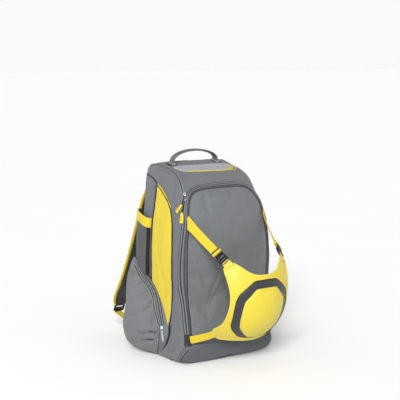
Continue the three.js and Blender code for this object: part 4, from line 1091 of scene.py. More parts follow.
pocket_verts = puffed(pocket_verts, pocket_faces, held, 5.0, pressure=1.2, spare=0.02, bend=1.0)
depth = (2.2 * noise_at(pocket_verts, 44.0, 1.0) + 1.2 * noise_at(pocket_verts, 19.0, 8.0)
         + creases(pocket_verts, POCKET_CREASES)) * calm
pocket_verts = pocket_verts + depth[:, None] * rough.normals
POCKETS = Surface(pocket_verts, pocket_faces)
make_pair("side_pocket_cloth", Shape().add(pocket_verts, pocket_faces), "pocket",
          ["side_pocket"])


POCKET_REAR = [(184.8, -22, 254), (184.4, -53.5, 224), (178, -85, 200), (177.2, -108, 176), (181, -121, 149),
               (181, -135.5, 116), (179.6, -144.5, 97), (177, -141, 60), (170, -124, 26), (166, -112, 11)]
POCKET_EDGE = [(172.9, -9, 272), (169.8, -36, 251), (162.6, -70, 224), (157.5, -96, 206), (156.5, -122, 180),
               (158.5, -142, 154), (158.3, -164, 110), (158.2, -166.5, 86), (159.5, -158, 58), (159, -134,
                       26),
               (158, -120, 12)]
POCKET_MID = [(175.5, -27, 253), (172.0, -62, 224.5), (167, -91, 203), (167.8, -116.5, 176),
              (171.1, -135, 143),
              (173.2, -150, 103)]
zips = Shape()
line = line_on(POCKETS, POCKET_MID, 150)
cord(zips, line, 0, 0, tape_section(5.8, 1.3))
for shift in (-3.3, 3.3):
    cord(zips, line, shift, 1.1, round_section(1.7, 8, 0.85), 1)
cord(zips, line, 0, 1.2, round_section(0.9, 8), 2)
for shift in (-6.0, 6.0):
    cord(zips, line, shift, 0.5, round_section(0.75, 8), 2)
make_pair("side_pocket_zip", zips, ["tape", "rib", "dark_seam"], ["pocket_zip"])
seams = Shape()
line = line_on(POCKETS, POCKET_REAR, 200)
cord(seams, line, 0, 0.2, round_section(1.15, 8), 0)
cord(seams, line, -2.6, 0.2, round_section(1.7, 8, 0.7), 1)
cord(seams, line, 2.6, 0.0, round_section(1.7, 8, 0.7), 1)
line = line_on(POCKETS, POCKET_EDGE, 220)
share = np.linspace(0, 1, 220)
swell = 1.0 + 0.75 * np.clip((share - 0.60) / 0.12, 0, 1)
cord(seams, line, 0, 0.9, round_section(1.7, 8), 0, scale=swell)
cord(seams, line, 3.4, 0.4, round_section(1.5, 8, 0.8), 1)
make_pair("side_pocket_seams", seams, ["dark_seam", "seam_ridge_highlight"])
line = line_on(POCKETS, [(171, -24, 262), (165, -46, 245), (160, -64, 231)], 40)
glint = Shape()
cord(glint, line, -2.0, 1.2, round_section(1.6, 8))
make_pair("side_pocket_lining_edge", glint, "binding")


# Domed carrier flap
DOME = (160.0, 160.0, 175.0)
DOME_Y, DOME_Z = -245.0, 221.0
FLAP_HEIGHT, FLAP_HALF, FLAP_LOW = 228.0, 103.0, 78.0


def dome_place(x, z):
    a, b, c = DOME
    inside = max(0.0, 1 - (x / a) ** 2 - ((z - DOME_Z) / c) ** 2)
    y = DOME_Y - b * math.sqrt(inside)
    return np.array([x, y, z]), unit(np.array([x / a ** 2, (y - DOME_Y) / b ** 2, (z - DOME_Z) / c ** 2]))


FLAP_EDGE = np.array([
    (0.00, 0.840), (0.20, 0.843), (0.34, 0.858), (0.50, 0.895), (0.62, 0.945), (0.70, 0.972), (0.77, 0.996),
    (1.00, 0.945), (1.00, 0.880), (0.96, 0.740), (0.93, 0.620), (0.93, 0.500), (0.95, 0.370), (0.97, 0.270),
    (1.01, 0.215), (1.08, 0.155), (0.86, 0.030), (0.70, 0.022), (0.45, 0.015), (0.20, 0.003), (0.00, 0.000)])
BAND_EDGE = np.array([
    (0.00, 0.790), (0.34, 0.785), (0.56, 0.710), (0.75, 0.630), (0.81, 0.560), (0.835, 0.450), (0.82, 0.260),
    (0.75, 0.190), (0.55, 0.100), (0.35, 0.068), (0.00, 0.055)])
PAD_EDGE = np.array([
    (0.00, 0.690), (0.31, 0.688), (0.47, 0.610), (0.60, 0.545), (0.635, 0.450), (0.64, 0.320), (0.59, 0.220),
    (0.44, 0.140), (0.28, 0.085), (0.00, 0.068)])


def flap_loop(rows, count, cuts=3, share=0.2):
    right = np.stack([rows[:, 0] * FLAP_HALF, FLAP_LOW + rows[:, 1] * FLAP_HEIGHT], 1)
    loop = np.vstack([right, right[-2:0:-1] * np.array([-1.0, 1.0])])
    loop = chaikin(loop, cuts, share=share)
    return loop_of(loop, count)


def on_dome(loop, lift=0.0):
    found = [dome_place(x, z) for x, z in loop]
    points, normals = parts(found)
    return points + lift * normals, normals


verts, normals, faces = disc_patch(flap_loop(FLAP_EDGE, 300), (0, 180), 48, dome_place,
                                   cushion(0.0, 5, -0.7))
verts += (0.7 * noise_at(verts, 60.0, 3.0) - 0.35)[:, None] * normals
flap = thicken(verts, normals, faces, 3.0)
loop, normals = on_dome(flap_loop(FLAP_EDGE, 340), -1.5)
flap.add(*strip(loop, normals, round_section(2.1, 10), closed=True), 1)
make("flap_shell", flap, ["flap", "rim"], ["carrier_flap"])

verts, normals, faces = disc_patch(flap_loop(BAND_EDGE, 220, 2, share=0.12), (0, 172), 30, dome_place,
                                   cushion(1.5, 6, 0.2))
band = thicken(verts, normals, faces, 1.4)
for rows, lift in ((BAND_EDGE, 0.8), (PAD_EDGE, 1.7)):
    loop, normals = on_dome(flap_loop(rows, 260, 2, share=0.12), lift)
    band.add(*strip(loop, normals, round_section(1.0, 8), closed=True), 1)
make("flap_band_cloth", band, ["band", "dark_seam"], ["flap_band"])

PAD_TOP = 6.5


def pad_lift(distance):
    t = min(1.0, distance / 62.0)
    edge = 1 - (1 - min(1.0, distance / 7.0)) ** 2
    return 1.2 + 1.6 * edge + PAD_TOP * (1 - (1 - t) ** 2)


pad_outline = flap_loop(PAD_EDGE, 200, 2, share=0.12)
verts, normals, faces = disc_patch(pad_outline, (0, 172), 44, dome_place, pad_lift)
away = from_edge(pad_outline, verts)
verts = puffed(verts, faces, np.where(away < 2.5)[0], 2.5, pressure=1.0, bend=4.0)
pad = thicken(verts, normals, faces, 1.5)
loop, normals = on_dome(flap_loop(PAD_EDGE, 220, 2, share=0.12), 2.0)
pad.add(*strip(loop, normals, round_section(1.3, 8), closed=True), 1)
pad_piece = make("flap_pad_cloth", pad, ["pad", "rim"], ["flap_pad"])


# Webbing that carries the flap, with its buckles
def ribbon(points, across, width, thick, count=60):
    """Flat strap tape through the given points. across is its sideways direction at each of them."""
    points, across = np.asarray(points, float), np.asarray(across, float)
    path = spline(points, count)
    steps = np.concatenate([[0], np.cumsum(np.linalg.norm(np.diff(points, axis=0), axis=1))])
    at = np.linspace(0, steps[-1], count)
    side = unit(np.stack([np.interp(at, steps, across[:, i]) for i in range(3)], 1))
    along = tangents(path)
    side = unit(side - (side * along).sum(1)[:, None] * along)
    out = np.cross(side, along)
    width = np.interp(at, steps, width) if np.ndim(width) else np.full(count, width)
    arc = np.linspace(-math.pi / 2, math.pi / 2, 4)
    rings = []
    for i in range(count):
        half = width[i] / 2 - thick / 2
        right = np.stack([half + thick / 2 * np.cos(arc), thick / 2 * np.sin(arc)], 1)
        flats = np.linspace(1, -1, 7)[1:-1]
        top = np.stack([flats * half, np.full(5, thick / 2)], 1)
        section = np.concatenate([right, top, right[::-1] * [-1, 1], top[::-1] * [1, -1]])
        rings.append(path[i] + section[:, :1] * side[i] + section[:, 1:] * out[i])
    n = len(rings[0])
    faces = grid(count, n, wrap=True)
    faces += [tuple(range(n))[::-1], tuple(range((count - 1) * n, count * n))]
    return np.concatenate(rings), faces, path, side, out


def bar(a, b, half_wide, half_thick, across, count=10):
    """A straight rounded bar from a to b."""
    a, b = np.asarray(a, float), np.asarray(b, float)
    path = a + (b - a) * np.linspace(0, 1, count)[:, None]
    normal = unit(np.cross(across, b - a))
    return strip(path, np.tile(normal, (count, 1)), rounded_bar(half_wide, half_thick, 16, 0.7, 0.7))


def place_plan(flat, at, x_axis, y_axis, z_axis):
    flat = np.asarray(flat, float)
    return at + flat[:, :1] * x_axis + flat[:, 1:2] * y_axis + flat[:, 2:3] * z_axis


def frame_loop(length, width, corner, count=72):
    loop = rounded_rectangle((-length / 2, -width / 2), (length / 2, width / 2), corner)
    loop = loop_of(loop, count)
    return np.column_stack([loop, np.zeros(len(loop))])


def buckle_shape(length, width, thick, rim, bars, at, x_axis, y_axis, z_axis, corner=5.0):
    """A buckle: a rounded frame with bars across it, each given by its place and half width."""
    shape = Shape()
    loop = frame_loop(length - 2 * rim, width - 2 * rim, corner)
    section = rounded_bar(rim, thick / 2, 14, 0.7, 0.6)
    verts, faces = strip(loop, np.tile([0.0, 0.0, 1.0], (len(loop), 1)), section, closed=True)
    shape.add(place_plan(verts, at, x_axis, y_axis, z_axis), faces)
    for where, half in bars:
        verts, faces = bar((where, -width / 2 + rim, 0), (where, width / 2 - rim, 0), half, thick * 0.36,
                           (1, 0, 0))
        shape.add(place_plan(verts, at, x_axis, y_axis, z_axis), faces)
    return shape


corner_x, corner_z = 0.885 * FLAP_HALF, FLAP_LOW + 0.972 * FLAP_HEIGHT
corner_point, corner_normal = dome_place(corner_x, corner_z)
corner_point = corner_point - 1.5 * corner_normal
UPPER_Z = 399.0
seam_point, _ = front_place(float(front_half(UPPER_Z)) - 13.0, UPPER_Z)
strap_line = unit(seam_point - corner_point)
corner_across = unit(np.cross(corner_normal, strap_line))
if corner_across[2] < 0:
    corner_across = -corner_across
corner_out = np.cross(strap_line, corner_across)
reach = np.linalg.norm(seam_point - corner_point)


def along_strap(distance, sag_depth=0.0):
    share = min(1.0, max(0.0, distance / reach))
    return corner_point + distance * strap_line + np.array([0, 0, -sag_depth * 4 * share * (1 - share)])


strap_stops = np.array([33.0, 46.0, 60.0, reach * 0.65, reach * 0.82, reach - 12.0, reach + 1.0,
                        reach + 7.0])
stations = [along_strap(d, 1.5) for d in strap_stops]
share = np.array([0, 0.05, 0.12, 0.2, 0.3, 0.55, 1.0, 1.0])[:, None]
sides = unit(corner_across * (1 - share) + np.array([0.0, 0.0, 1.0]) * share)
verts, faces, path, side, out = ribbon(stations, sides, [24, 24, 24, 24, 24.5, 27, 33, 35], 2.1)
strap = Shape().add(verts, faces, 0)
for shift in (-9.2, 9.2):
    line = path + shift * side + 1.15 * out
    strap.add(*strip(line, out, round_section(0.42, 5)), 1)
tail = [along_strap(d) + 2.9 * corner_out for d in (42.0, 46.0, 50.0, 54.0, 58.0)]
verts, faces, _, _, _ = ribbon(tail, np.tile(corner_across, (5, 1)), 23.6, 2.0, count=36)
strap.add(verts, faces, 0)
make_pair("upper_web", strap, ["web", "yellow_thread"], ["upper_strap"])

loop_at = along_strap(48.6) + 1.6 * corner_out
keeper = Shape()
flat = rounded_rectangle((-13.1, -3.4), (13.1, 3.4), 1.6)
flat = loop_of(flat, 60)
ring = loop_at + flat[:, :1] * corner_across + flat[:, 1:] * corner_out
ring_normals = unit(ring - (loop_at + flat[:, :1] * corner_across * 0.8))
keeper.add(*strip(ring, ring_normals, tape_section(3.6, 1.3), closed=True))
make_pair("strap_keeper", keeper, "web", ["strap_loop"])

buckle_at = along_strap(21.5) + 0.6 * corner_out
buckle = buckle_shape(27.0, 29.0, 7.6, 3.4, ((8.4, 2.8), (0.6, 3.0), (-7.2, 2.8)), buckle_at, strap_line,
                      corner_across, corner_out, 4.0)
under = [along_strap(d) + h * corner_out for d, h in ((4, -0.6), (12, -0.4), (22, -0.4), (32, -0.2),
                                                      (39, -0.6))]
verts, faces, _, _, _ = ribbon(under, np.tile(corner_across, (5, 1)), 21.0, 2.6, count=30)
buckle.add(verts, faces, 1)
over = [along_strap(d) + h * corner_out for d, h in ((33.0, 2.6), (35.0, 4.6), (42.4, 4.6), (44.0, 1.6))]
verts, faces, _, _, _ = ribbon(over, np.tile(corner_across, (4, 1)), 25.6, 1.4, count=24)
buckle.add(verts, faces, 1)
crossing = [along_strap(53.6) + t * corner_across + 4.6 * corner_out for t in (-12.2, 0.0, 12.2)]
buckle.add(*strip(crossing, [corner_out] * 3, tape_section(2.4, 1.4)), 1)
make_pair("flap_buckle", buckle, ["plastic", "black_tape"], ["buckle"])
ear = Shape()
verts, faces, _, _, _ = ribbon([along_strap(-10.0) + 0.6 * corner_out, along_strap(0.0) + 0.9 * corner_out,
                                along_strap(8.0) + 1.6 * corner_out, along_strap(12.5) + 3.6 * corner_out,
                                along_strap(14.5) + 1.4 * corner_out, along_strap(12.0) - 1.4 * corner_out],
                               np.tile(corner_across, (6, 1)), 23.6, 1.8, count=40)
ear.add(verts, faces)
make_pair("ear_tab", ear, "flap")

LOWER_Z = 74.0
lobe_point, lobe_normal = dome_place(0.975 * FLAP_HALF, FLAP_LOW + 0.100 * FLAP_HEIGHT)
lobe_point = lobe_point - 1.5 * lobe_normal
tab_x = float(front_half(LOWER_Z)) - 5.0 - 0.6 * 21.0
tab_point, _ = front_place(tab_x, LOWER_Z)
lower_line = unit(tab_point - lobe_point)
lobe_across = unit(np.cross(lobe_normal, lower_line))
if lobe_across[2] < 0:
    lobe_across = -lobe_across
lower_reach = np.linalg.norm(tab_point - lobe_point)
stations = [lobe_point + lower_line * d + [0, 0, -2.0 * 4 * (d / lower_reach) * (1 - min(1,
        d / lower_reach))]
            for d in (-14.0, 4.0, lower_reach * 0.35, lower_reach * 0.7, lower_reach, lower_reach + 4.0)]
share = np.linspace(0, 1, 6)[:, None]
sides = unit(lobe_across * (1 - share) + np.array([0.0, 0.0, 1.0]) * share)
verts, faces, path, side, out = ribbon(stations, sides, 22.0, 2.0)
lower = Shape().add(verts, faces, 0)
for shift in (-8.4, 8.4):
    lower.add(*strip(path + shift * side + 1.1 * out, out, round_section(0.4, 5)), 1)
make_pair("lower_web", lower, ["web", "yellow_thread"], ["lower_strap"])

tab_right = float(front_half(LOWER_Z)) - 5.0
tab_edge = rounded_rectangle((tab_right - 21.0, LOWER_Z - 17.0), (tab_right, LOWER_Z + 17.0), 2.5)
verts, normals, faces = disc_patch(tab_edge, (tab_right - 10.5, LOWER_Z), 14, front_place,
                                   cushion(3.2, 3, 1.2))
tab = thicken(verts, normals, faces, 2.2)
for z in np.linspace(LOWER_Z - 14.5, LOWER_Z + 14.5, 11):
    found = [front_place(x, z) for x in np.linspace(tab_right - 19.5, tab_right - 1.5, 14)]
    tab.add(*strip([p + 3.1 * n for p, n in found], [n for _, n in found], round_section(0.85, 6)))
make_pair("corner_patch", tab, "dark_tape", ["corner_tab"])


# Grab handle with its loops
HANDLE_SPAN, HANDLE_RISE, HANDLE_DEPTH = 152.0, 34.0, 53.0
angles = np.linspace(0, math.pi, 25)
handle_points = []
for a in angles:
    x = -(HANDLE_SPAN / 2) * math.cos(a)
    foot = top_place(x, -HANDLE_DEPTH)[0][2] + 2.2
    handle_points.append([x, -HANDLE_DEPTH, foot + HANDLE_RISE * math.sin(a) ** 0.75])
handle_points[0][2] -= 1.5
handle_points[-1][2] -= 1.5
verts, faces, path, side, out = ribbon(handle_points, np.tile([0.0, 1.0, 0.0], (25, 1)), 25.0, 3.6,
                                       count=150)
handle = Shape().add(verts, faces, 0)
for shift in (-9.8, 9.8):
    for face_side in (-1, 1):
        line = (path + shift * side + face_side * 1.85 * out)[8:-8]
        handle.add(*strip(line, out[8:-8] * face_side, round_section(0.45, 5)), 1)
for face_side in (-1, 1):
    rib_line = (path + face_side * 1.75 * out)[24:-24]
    handle.add(*strip(rib_line, out[24:-24] * face_side, tape_section(7.0, 1.2)), 2)
make("handle_web", handle, ["handle", "thread", "tape"], ["grab_handle"])

foot_spot, foot_normal = top_place(HANDLE_SPAN / 2, -HANDLE_DEPTH)
foot_x = unit(np.array([1.0, 0, 0]) - foot_normal[0] * foot_normal)
foot_y = np.cross(foot_normal, foot_x)
anchor = buckle_shape(15.0, 31.0, 5.6, 2.6, ((0.0, 1.9),), foot_spot + 2.6 * foot_normal, foot_x, foot_y,
                      foot_normal, 3.0)
make_pair("handle_loop", anchor, "anchor", ["handle_anchor"])
patch_points = [foot_spot + foot_x * d + foot_normal * h for d, h in ((-9, 0.8), (-4, 1.6), (0, 3.2),
        (5, 1.6), (14, 0.8))]
verts, faces, path, side, out = ribbon(patch_points, np.tile(foot_y, (5, 1)), 24.0, 1.8, count=40)
make_pair("handle_root", Shape().add(verts, faces), "dark_tape")


# Top pocket piping, doubled at its right end
# Columns: points, lift, radius, kind, and the run seen from above
PIPING_RUNS = (
    (150, 1.5, 1.6, 0, [(-70, -118.5), (-56, -123.5), (-20, -128.5), (20, -131.5), (60, -132.5), (84, -131),
                        (96, -126), (103, -114), (105, -98), (102, -84)]),
    (80, 2.3, 1.3, 0, [(60, -126.5), (78, -125.5), (89, -120.5), (95.5, -111), (97, -98), (94, -84)]),
    (80, 1.6, 1.1, 1, [(58, -129.6), (80, -128.6), (92.5, -123.4), (99.5, -112), (101, -98), (98, -84)]))
piping = Shape()
for count, lift, radius, kind, run in PIPING_RUNS:
    path, normals = parts([top_place(x, y) for x, y in spline(run, count)])
    piping.add(*strip(path + lift * normals, normals, round_section(radius, 8)), kind)
make("top_pocket_piping", piping, ["web", "dark_seam"], ["top_piping"])


# Shoulder straps
STRAP = np.array([
    (1.000, 0.00, 0.000, 0.86), (0.945, 0.30, 0.022, 0.94), (0.860, 0.75, 0.085, 1.00), (0.700, 0.96, 0.175,
            1.00),
    (0.545, 1.00, 0.318, 1.00), (0.385, 1.00, 0.485, 1.00), (0.180, 1.00, 0.742, 0.98), (0.055, 1.00, 0.945,
            0.86),
    (0.000, 1.00, 1.000, 0.62)])
STRAP_WIDTH, STRAP_THICK = 66.0, 11.0
strap_points = np.stack([58 + 49 * STRAP[:, 1], 5.8 + 198 * STRAP[:, 2], 82 + 422 * STRAP[:, 0]], 1)
strap_points[0, 1] += 1.0
strap_path = spline(np.vstack([[56.5, -5.0, 512.0], strap_points]), 150)
for _ in range(30):
    strap_path[1:-1] = (strap_path[:-2] + 2 * strap_path[1:-1] + strap_path[2:]) / 4
steps = np.concatenate([[0], np.cumsum(np.linalg.norm(np.diff(strap_points, axis=0), axis=1))])
at = np.linspace(-12.0, steps[-1], 150)
strap_wide = pchip(steps, STRAP[:, 3], at) * STRAP_WIDTH
strap_along = tangents(strap_path)
strap_side = unit(np.array([1.0, 0, 0]) - strap_along[:, :1] * strap_along)
strap_out = np.cross(strap_side, strap_along)


def pad_section(wide, thick):
    """A soft section: full in the middle, pinched to its bound edges."""
    u = np.linspace(-1, 1, 33)
    half = 0.5 * thick * (0.30 + 0.70 * (1 - np.abs(u) ** 3.4))
    top = np.stack([u * wide / 2, half], 1)
    return np.concatenate([top, top[::-1] * [1, -1]])


strap = Shape()
rings = []
for i in range(150):
    section = pad_section(strap_wide[i] - 2.0, STRAP_THICK)
    rings.append(strap_path[i] + section[:, :1] * strap_side[i] + section[:, 1:] * strap_out[i])
n = len(rings[0])
verts = np.concatenate(rings)
verts = verts + (0.5 * noise_at(verts, 26.0, 2.0))[:, None] * np.repeat(strap_out, n, 0)
faces = grid(150, n, wrap=True) + [tuple(range(n))[::-1], tuple(range(149 * n, 150 * n))]
strap.add(verts, faces, 0)
for sign in (-1, 1):
    edge = strap_path + sign * (strap_wide / 2 - 3.4)[:, None] * strap_side
    section = rounded_bar(4.6, 3.3, 20, 0.8, 0.8)
    strap.add(*strip(edge, strap_out, section), 1)
    for face_side in (-1, 1):
        line = edge - sign * 3.2 * strap_side + face_side * 3.3 * strap_out
        sewn = stitches(line[3:-3], strap_out[3:-3] * face_side, pitch=4.4, length=2.8, radius=0.4)
        strap.add(sewn.all(), sewn.faces, 2)
right, left = make_pair("strap_padding", strap, ["black", "binding", "yellow_thread"],
                        ["shoulder_strap"])

tip = strap_points[-1]
down = unit(strap_points[-1] - strap_points[-2])
LOCK_HEIGHT, LOCK_WIDTH = 26.0, 36.0
lock_centre = tip + down * (0.3 + LOCK_HEIGHT / 2)
lock_normal = unit(np.cross([1.0, 0, 0], down))
lock = buckle_shape(LOCK_HEIGHT, LOCK_WIDTH, 6.2, 2.6, ((0.0, 2.4),), lock_centre, down,
                    np.cross(lock_normal, down),
                    lock_normal, 3.5)
make_pair("ladder_buckle", lock, "plastic", ["ladder_lock"])
lock_foot = lock_centre + down * ((LOCK_HEIGHT + 6.0) / 2 + 0.3)
anchor_low = np.array([128.0, -4.0, 50.0])
share = np.linspace(0, 1, 12)[:, None]
line = lock_foot * (1 - share) + anchor_low * share - np.array([0, 0, 7.0]) * 4 * share * (1 - share)
start = np.array([lock_centre + down * 3.0 + lock_normal * 3.4,
                  lock_centre + down * 9.0 + lock_normal * 3.6])
line = np.vstack([start, line])
verts, faces, path, side, out = ribbon(line, np.tile([1.0, 0, 0], (len(line), 1)), 25.0, 2.0, count=130)
webs = Shape().add(verts, faces, 0)
for shift in (-9.6, 9.6):
    for face_side in (-1, 1):
        webs.add(*strip(path + shift * side + face_side * 1.05 * out, out * face_side,
                        round_section(0.4, 5)), 1)
make_pair("strap_web", webs, ["web", "yellow_thread"], ["strap_webbing"])


# Back pad: a quilted panel against the wearer's back
pad_low, pad_high = 80.0, 478.0


def back_place(x, z):
    point, normal = BODY.cast((x, 500, z), (0, -1, 0))
    return point, normal


def quilt(x, z):
    """Depth of the sewn channels that part the pad into three long cushions and their steps."""
    groove = 0.0
    for channel in (-30.0, 30.0):
        groove += math.exp(-((abs(x - channel)) / 4.2) ** 2)
    for height in (180.0, 280.0, 380.0):
        groove += 0.8 * math.exp(-((z - height - 0.004 * x * x) / 4.2) ** 2)
    return 4.6 * min(1.0, groove)


pad_edge = rounded_rectangle((-92, pad_low), (92, pad_high), 40, 20)
pad_edge = loop_of(pad_edge, 260)
verts, normals, faces = disc_patch(pad_edge, (0, 279), 64, back_place, cushion(5.0, 12, 0.5), dense=1.1)
channels = np.array([quilt(x, z) for x, z in verts[:, [0, 2]]])
away = from_edge(pad_edge, verts)
verts[:, 1] -= 0.75 * channels
verts = puffed(verts, faces, np.where((away < 3.0) | (channels > 3.6))[0], 4.0, pressure=5.0, spare=0.02)
verts[:, 1] = np.clip(verts[:, 1], 0.5, 9.2)
padding = thicken(verts, normals, faces, 1.5)
found = [back_place(x, z) for x, z in pad_edge]
padding.add(*strip([p + 1.8 * n for p, n in found], [n for _, n in found], round_section(2.4, 10),
                   closed=True), 1)
back_piece = make("back_padding", padding, ["black", "black_tape"], ["back_pad"])


# Zip sliders, pulls and tabs
def stacked(outline, levels, top, low):
    """A closed form from scaled copies of an outline. Levels: scale, height. top and low close it."""
    n, base = len(outline), (len(levels) - 1) * len(outline)
    verts = np.concatenate([np.column_stack([outline * s, np.full(n, h)]) for s, h in levels]
                           + [np.array([[0, 0, top], [0, 0, low]])])
    faces = grid(len(levels), n, wrap=True)
    faces += [(base + i, base + (i + 1) % n, base + n) for i in range(n)]
    return verts, faces + [((i + 1) % n, i, base + n + 1) for i in range(n)]


def slider_shape(at, normal, up):
    z_axis = unit(normal)
    x_axis = unit(np.asarray(up, float) - np.dot(up, z_axis) * z_axis)
    y_axis = np.cross(z_axis, x_axis)
    outline = np.array([(-5.5, -2.4), (-4.6, -3.4), (1.0, -4.0), (4.4, -3.6), (5.5, -2.0), (5.5, 2.0),
                        (4.4, 3.6),
                        (1.0, 4.0), (-4.6, 3.4), (-5.5, 2.4)])
    outline = chaikin(outline, 2)
    shape = Shape()
    levels = ((0.90, 0.0), (1.0, 0.4), (1.0, 1.5), (0.92, 1.9), (0.78, 2.1), (0.4, 2.2))
    verts, faces = stacked(outline, levels, 2.2, 0.0)
    shape.add(place_plan(verts, at, x_axis, y_axis, z_axis), faces)
    arch = [(-3.6, 0, 1.6), (-3.0, 0, 3.2), (-1.0, 0, 3.9), (1.6, 0, 3.7), (3.2, 0, 2.6), (3.6, 0, 1.6)]
    arch = place_plan(spline(arch, 18), at, x_axis, y_axis, z_axis)
    shape.add(*strip(arch, np.tile(y_axis, (18, 1)), round_section(0.9, 8)))
    return shape, x_axis, y_axis, z_axis


def pull_shape(centre, x_axis, y_axis, z_axis, thick=3.0):
    """A moulded pull with a ribbed grip."""
    outline = np.array([(-15, -3.6), (-13, -5.0), (4, -4.6), (11, -3.0), (15, -2.4), (15, 2.4), (11, 3.0),
                        (4, 4.6),
                        (-13, 5.0), (-15, 3.6)])
    outline = chaikin(outline, 2)
    levels = [(s, h * thick) for s, h in ((0.86, -0.5), (0.97, -0.42), (1.0, -0.2), (1.0, 0.2), (0.97, 0.42),
                                          (0.86, 0.5))]
    verts, faces = stacked(outline, levels, 0.5 * thick, -0.5 * thick)
    shape = Shape().add(place_plan(verts, centre, x_axis, y_axis, z_axis), faces)
    half = 3.4
    for x in np.arange(-11.0, 5.0, 2.6):
        ridge = place_plan([(x, -half, thick * 0.5), (x, 0, thick * 0.54), (x, half, thick * 0.5)], centre,
                           x_axis,
                           y_axis, z_axis)
        shape.add(*strip(ridge, np.tile(z_axis, (3, 1)), round_section(0.7, 6)))
    return shape


cords = Shape()
for name, height, (y, z, lean) in (("upper", 472.0, (-187.0, 434.0, -0.70)),
                                   ("lower", 456.0, (-203.0, 410.0, 0.08))):
    at, normal = front_place(float(front_half(height)) - 9.5, height)
    body, x_axis, y_axis, z_axis = slider_shape(at + 1.4 * normal, normal, (0, 0, 1))
    make("slider_" + name, body.mirrored(), "silver", ["zip_slider_" + name])
    spot, side_normal = side_place(y, z)
    up = np.array([0.0, lean, 1.0])
    across_n = unit(side_normal)
    run = unit(up - np.dot(up, across_n) * across_n)
    wide = np.cross(across_n, run)
    centre = spot + 3.4 * across_n
    make("pull_" + name, pull_shape(centre, run, wide, across_n).mirrored(), "pull",
         ["zip_pull_" + name])
    end = centre + run * 14.0
    top = at + 4.6 * normal
    mid, mid_normal = BODY.near((top + end) / 2)
    for shift in (-1.0, 1.0):
        cord_path = spline([top, (top * 0.7 + mid * 0.3) + 3.0 * mid_normal,
                            mid + 3.2 * mid_normal + shift * wide,
                            end + 0.8 * across_n + shift * 0.8 * wide, end - run * 4], 40)
        cords.add(*strip(cord_path, np.tile(mid_normal, (40, 1)),
                                                    round_section(0.8, 6)))
make("slider_cords", cords.mirrored(), "black_tape")

at, normal = POCKETS.near((173.4, -151.2, 96.0))
body, x_axis, y_axis, z_axis = slider_shape(at + 1.6 * normal, normal, (0, 0.2, 1))
make_pair("pocket_zip_slider", body, "silver", ["pocket_slider"])
hang = 5.5 + 16.5 + 0.9
spot, tab_out = POCKETS.near((168.4, -150.5, 96.0 - hang))
run = unit(np.array([0, 0.1, 1.0]) - np.dot([0, 0.1, 1.0], tab_out) * tab_out)
wide = np.cross(tab_out, run)
metal_tab = buckle_shape(33.0, 6.4, 1.5, 1.4, ((-8.0, 2.0), (-4.0, 2.0), (0.0, 2.0), (4.0, 2.0)),
                         spot + 3.2 * tab_out, run, wide, tab_out, 2.0)
make_pair("pocket_zip_tab", metal_tab, "silver", ["pocket_tab"])


# Feet
for name, x, y in (("front_left", -0.90, -0.63), ("front_right", 0.90, -0.63), ("back_left", -0.74, -0.15),
                   ("back_right", 0.74, -0.15)):
    profile = ((0.0, 0.0), (4.6, 0.0), (5.5, 0.25), (6.2, 0.9), (6.7, 2.0), (7.0, 3.4), (7.0, 6.9))
    turn = np.arange(40) * math.pi / 20
    verts = np.concatenate([np.column_stack([x * HALF + r * np.cos(turn), y * DEPTH + r * np.sin(turn),
                                             np.full(40, h)]) for r, h in profile[1:]]
                           + [np.array([[x * HALF, y * DEPTH, 0.0], [x * HALF, y * DEPTH, 6.9]])])
    faces = grid(6, 40, wrap=True)
    faces += [((i + 1) % 40, i, 240) for i in range(40)] + [(200 + i, 200 + (i + 1) % 40,
            241) for i in range(40)]
    make("stud_" + name, Shape().add(verts, faces), "rubber", ["foot_" + name])


# Floor, light and camera
def floor_mesh():
    steps = np.linspace(-60.0, 60.0, 3)
    verts = [(x, y, 0.0) for y in steps for x in steps]
    mesh = bpy.data.meshes.new("floor")
    mesh.from_pydata(verts, [], [(r * 3 + c, r * 3 + c + 1, r * 3 + c + 4, r * 3 + c + 3)
                                 for r in range(2) for c in range(2)])
    made = bpy.data.objects.new("floor", mesh)
    scene.collection.objects.link(made)
    return made


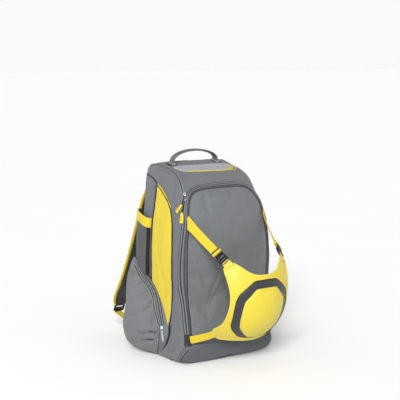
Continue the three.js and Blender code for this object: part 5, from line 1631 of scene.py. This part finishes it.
floor = floor_mesh()
pale = Paint("pale_floor", (0.90, 0.90, 0.90), rough=0.9, specular=0.1)
pale.tint(pale.noise(3.0, 2.0), 0.995, 1.005)
floor.data.materials.append(pale.finish(pale.relief(pale.noise(60.0), 0.0004, 0.1)))

sky = bpy.data.worlds.new("studio")
sky.use_nodes = True
nodes, links = sky.node_tree.nodes, sky.node_tree.links
backdrop = next(n for n in nodes if n.type == "BACKGROUND")
place = nodes.new("ShaderNodeTexCoord").outputs["Generated"]
height = nodes.new("ShaderNodeSeparateXYZ")
links.new(place, height.inputs[0])
wall = nodes.new("ShaderNodeMapRange")
for name, value in (("From Min", 0.05), ("From Max", 0.40), ("To Min", 0.95), ("To Max", 0.52)):
    wall.inputs[name].default_value = value
links.new(height.outputs["Z"], wall.inputs["Value"])
links.new(wall.outputs["Result"], backdrop.inputs["Strength"])
backdrop.inputs["Color"].default_value = (1.0, 1.0, 1.0, 1.0)
scene.world = sky
scene.view_settings.view_transform = "Standard"

sun = bpy.data.lights.new("key", "SUN")
sun.energy = 3.4
sun.angle = math.radians(22)
key = bpy.data.objects.new("key", sun)
key.rotation_euler = Vector((0.56, 0.66, -0.50)).to_track_quat("-Z", "Y").to_euler()
scene.collection.objects.link(key)


def area_light(name, place, target, size, power):
    light = bpy.data.lights.new(name, "AREA")
    light.shape = "RECTANGLE"
    light.size, light.size_y = size
    light.energy = power
    made = bpy.data.objects.new(name, light)
    made.location = place
    made.rotation_euler = (Vector(target) - Vector(place)).to_track_quat("-Z", "Y").to_euler()
    scene.collection.objects.link(made)


area_light("side", (-2.2, -0.9, 0.9), (0.0, 0.0, 0.28), (0.8, 1.6), 5.0)

view = bpy.data.cameras.new("view")
view.sensor_width = 36.0
view.lens = 90.0
camera = bpy.data.objects.new("view", view)
camera.location = (-1.606, REAR / 1000.0 - 2.466, 0.839)
camera.rotation_euler = Vector((0.5537, 0.8210, -0.1392)).to_track_quat("-Z", "Y").to_euler()
scene.collection.objects.link(camera)
scene.camera = camera
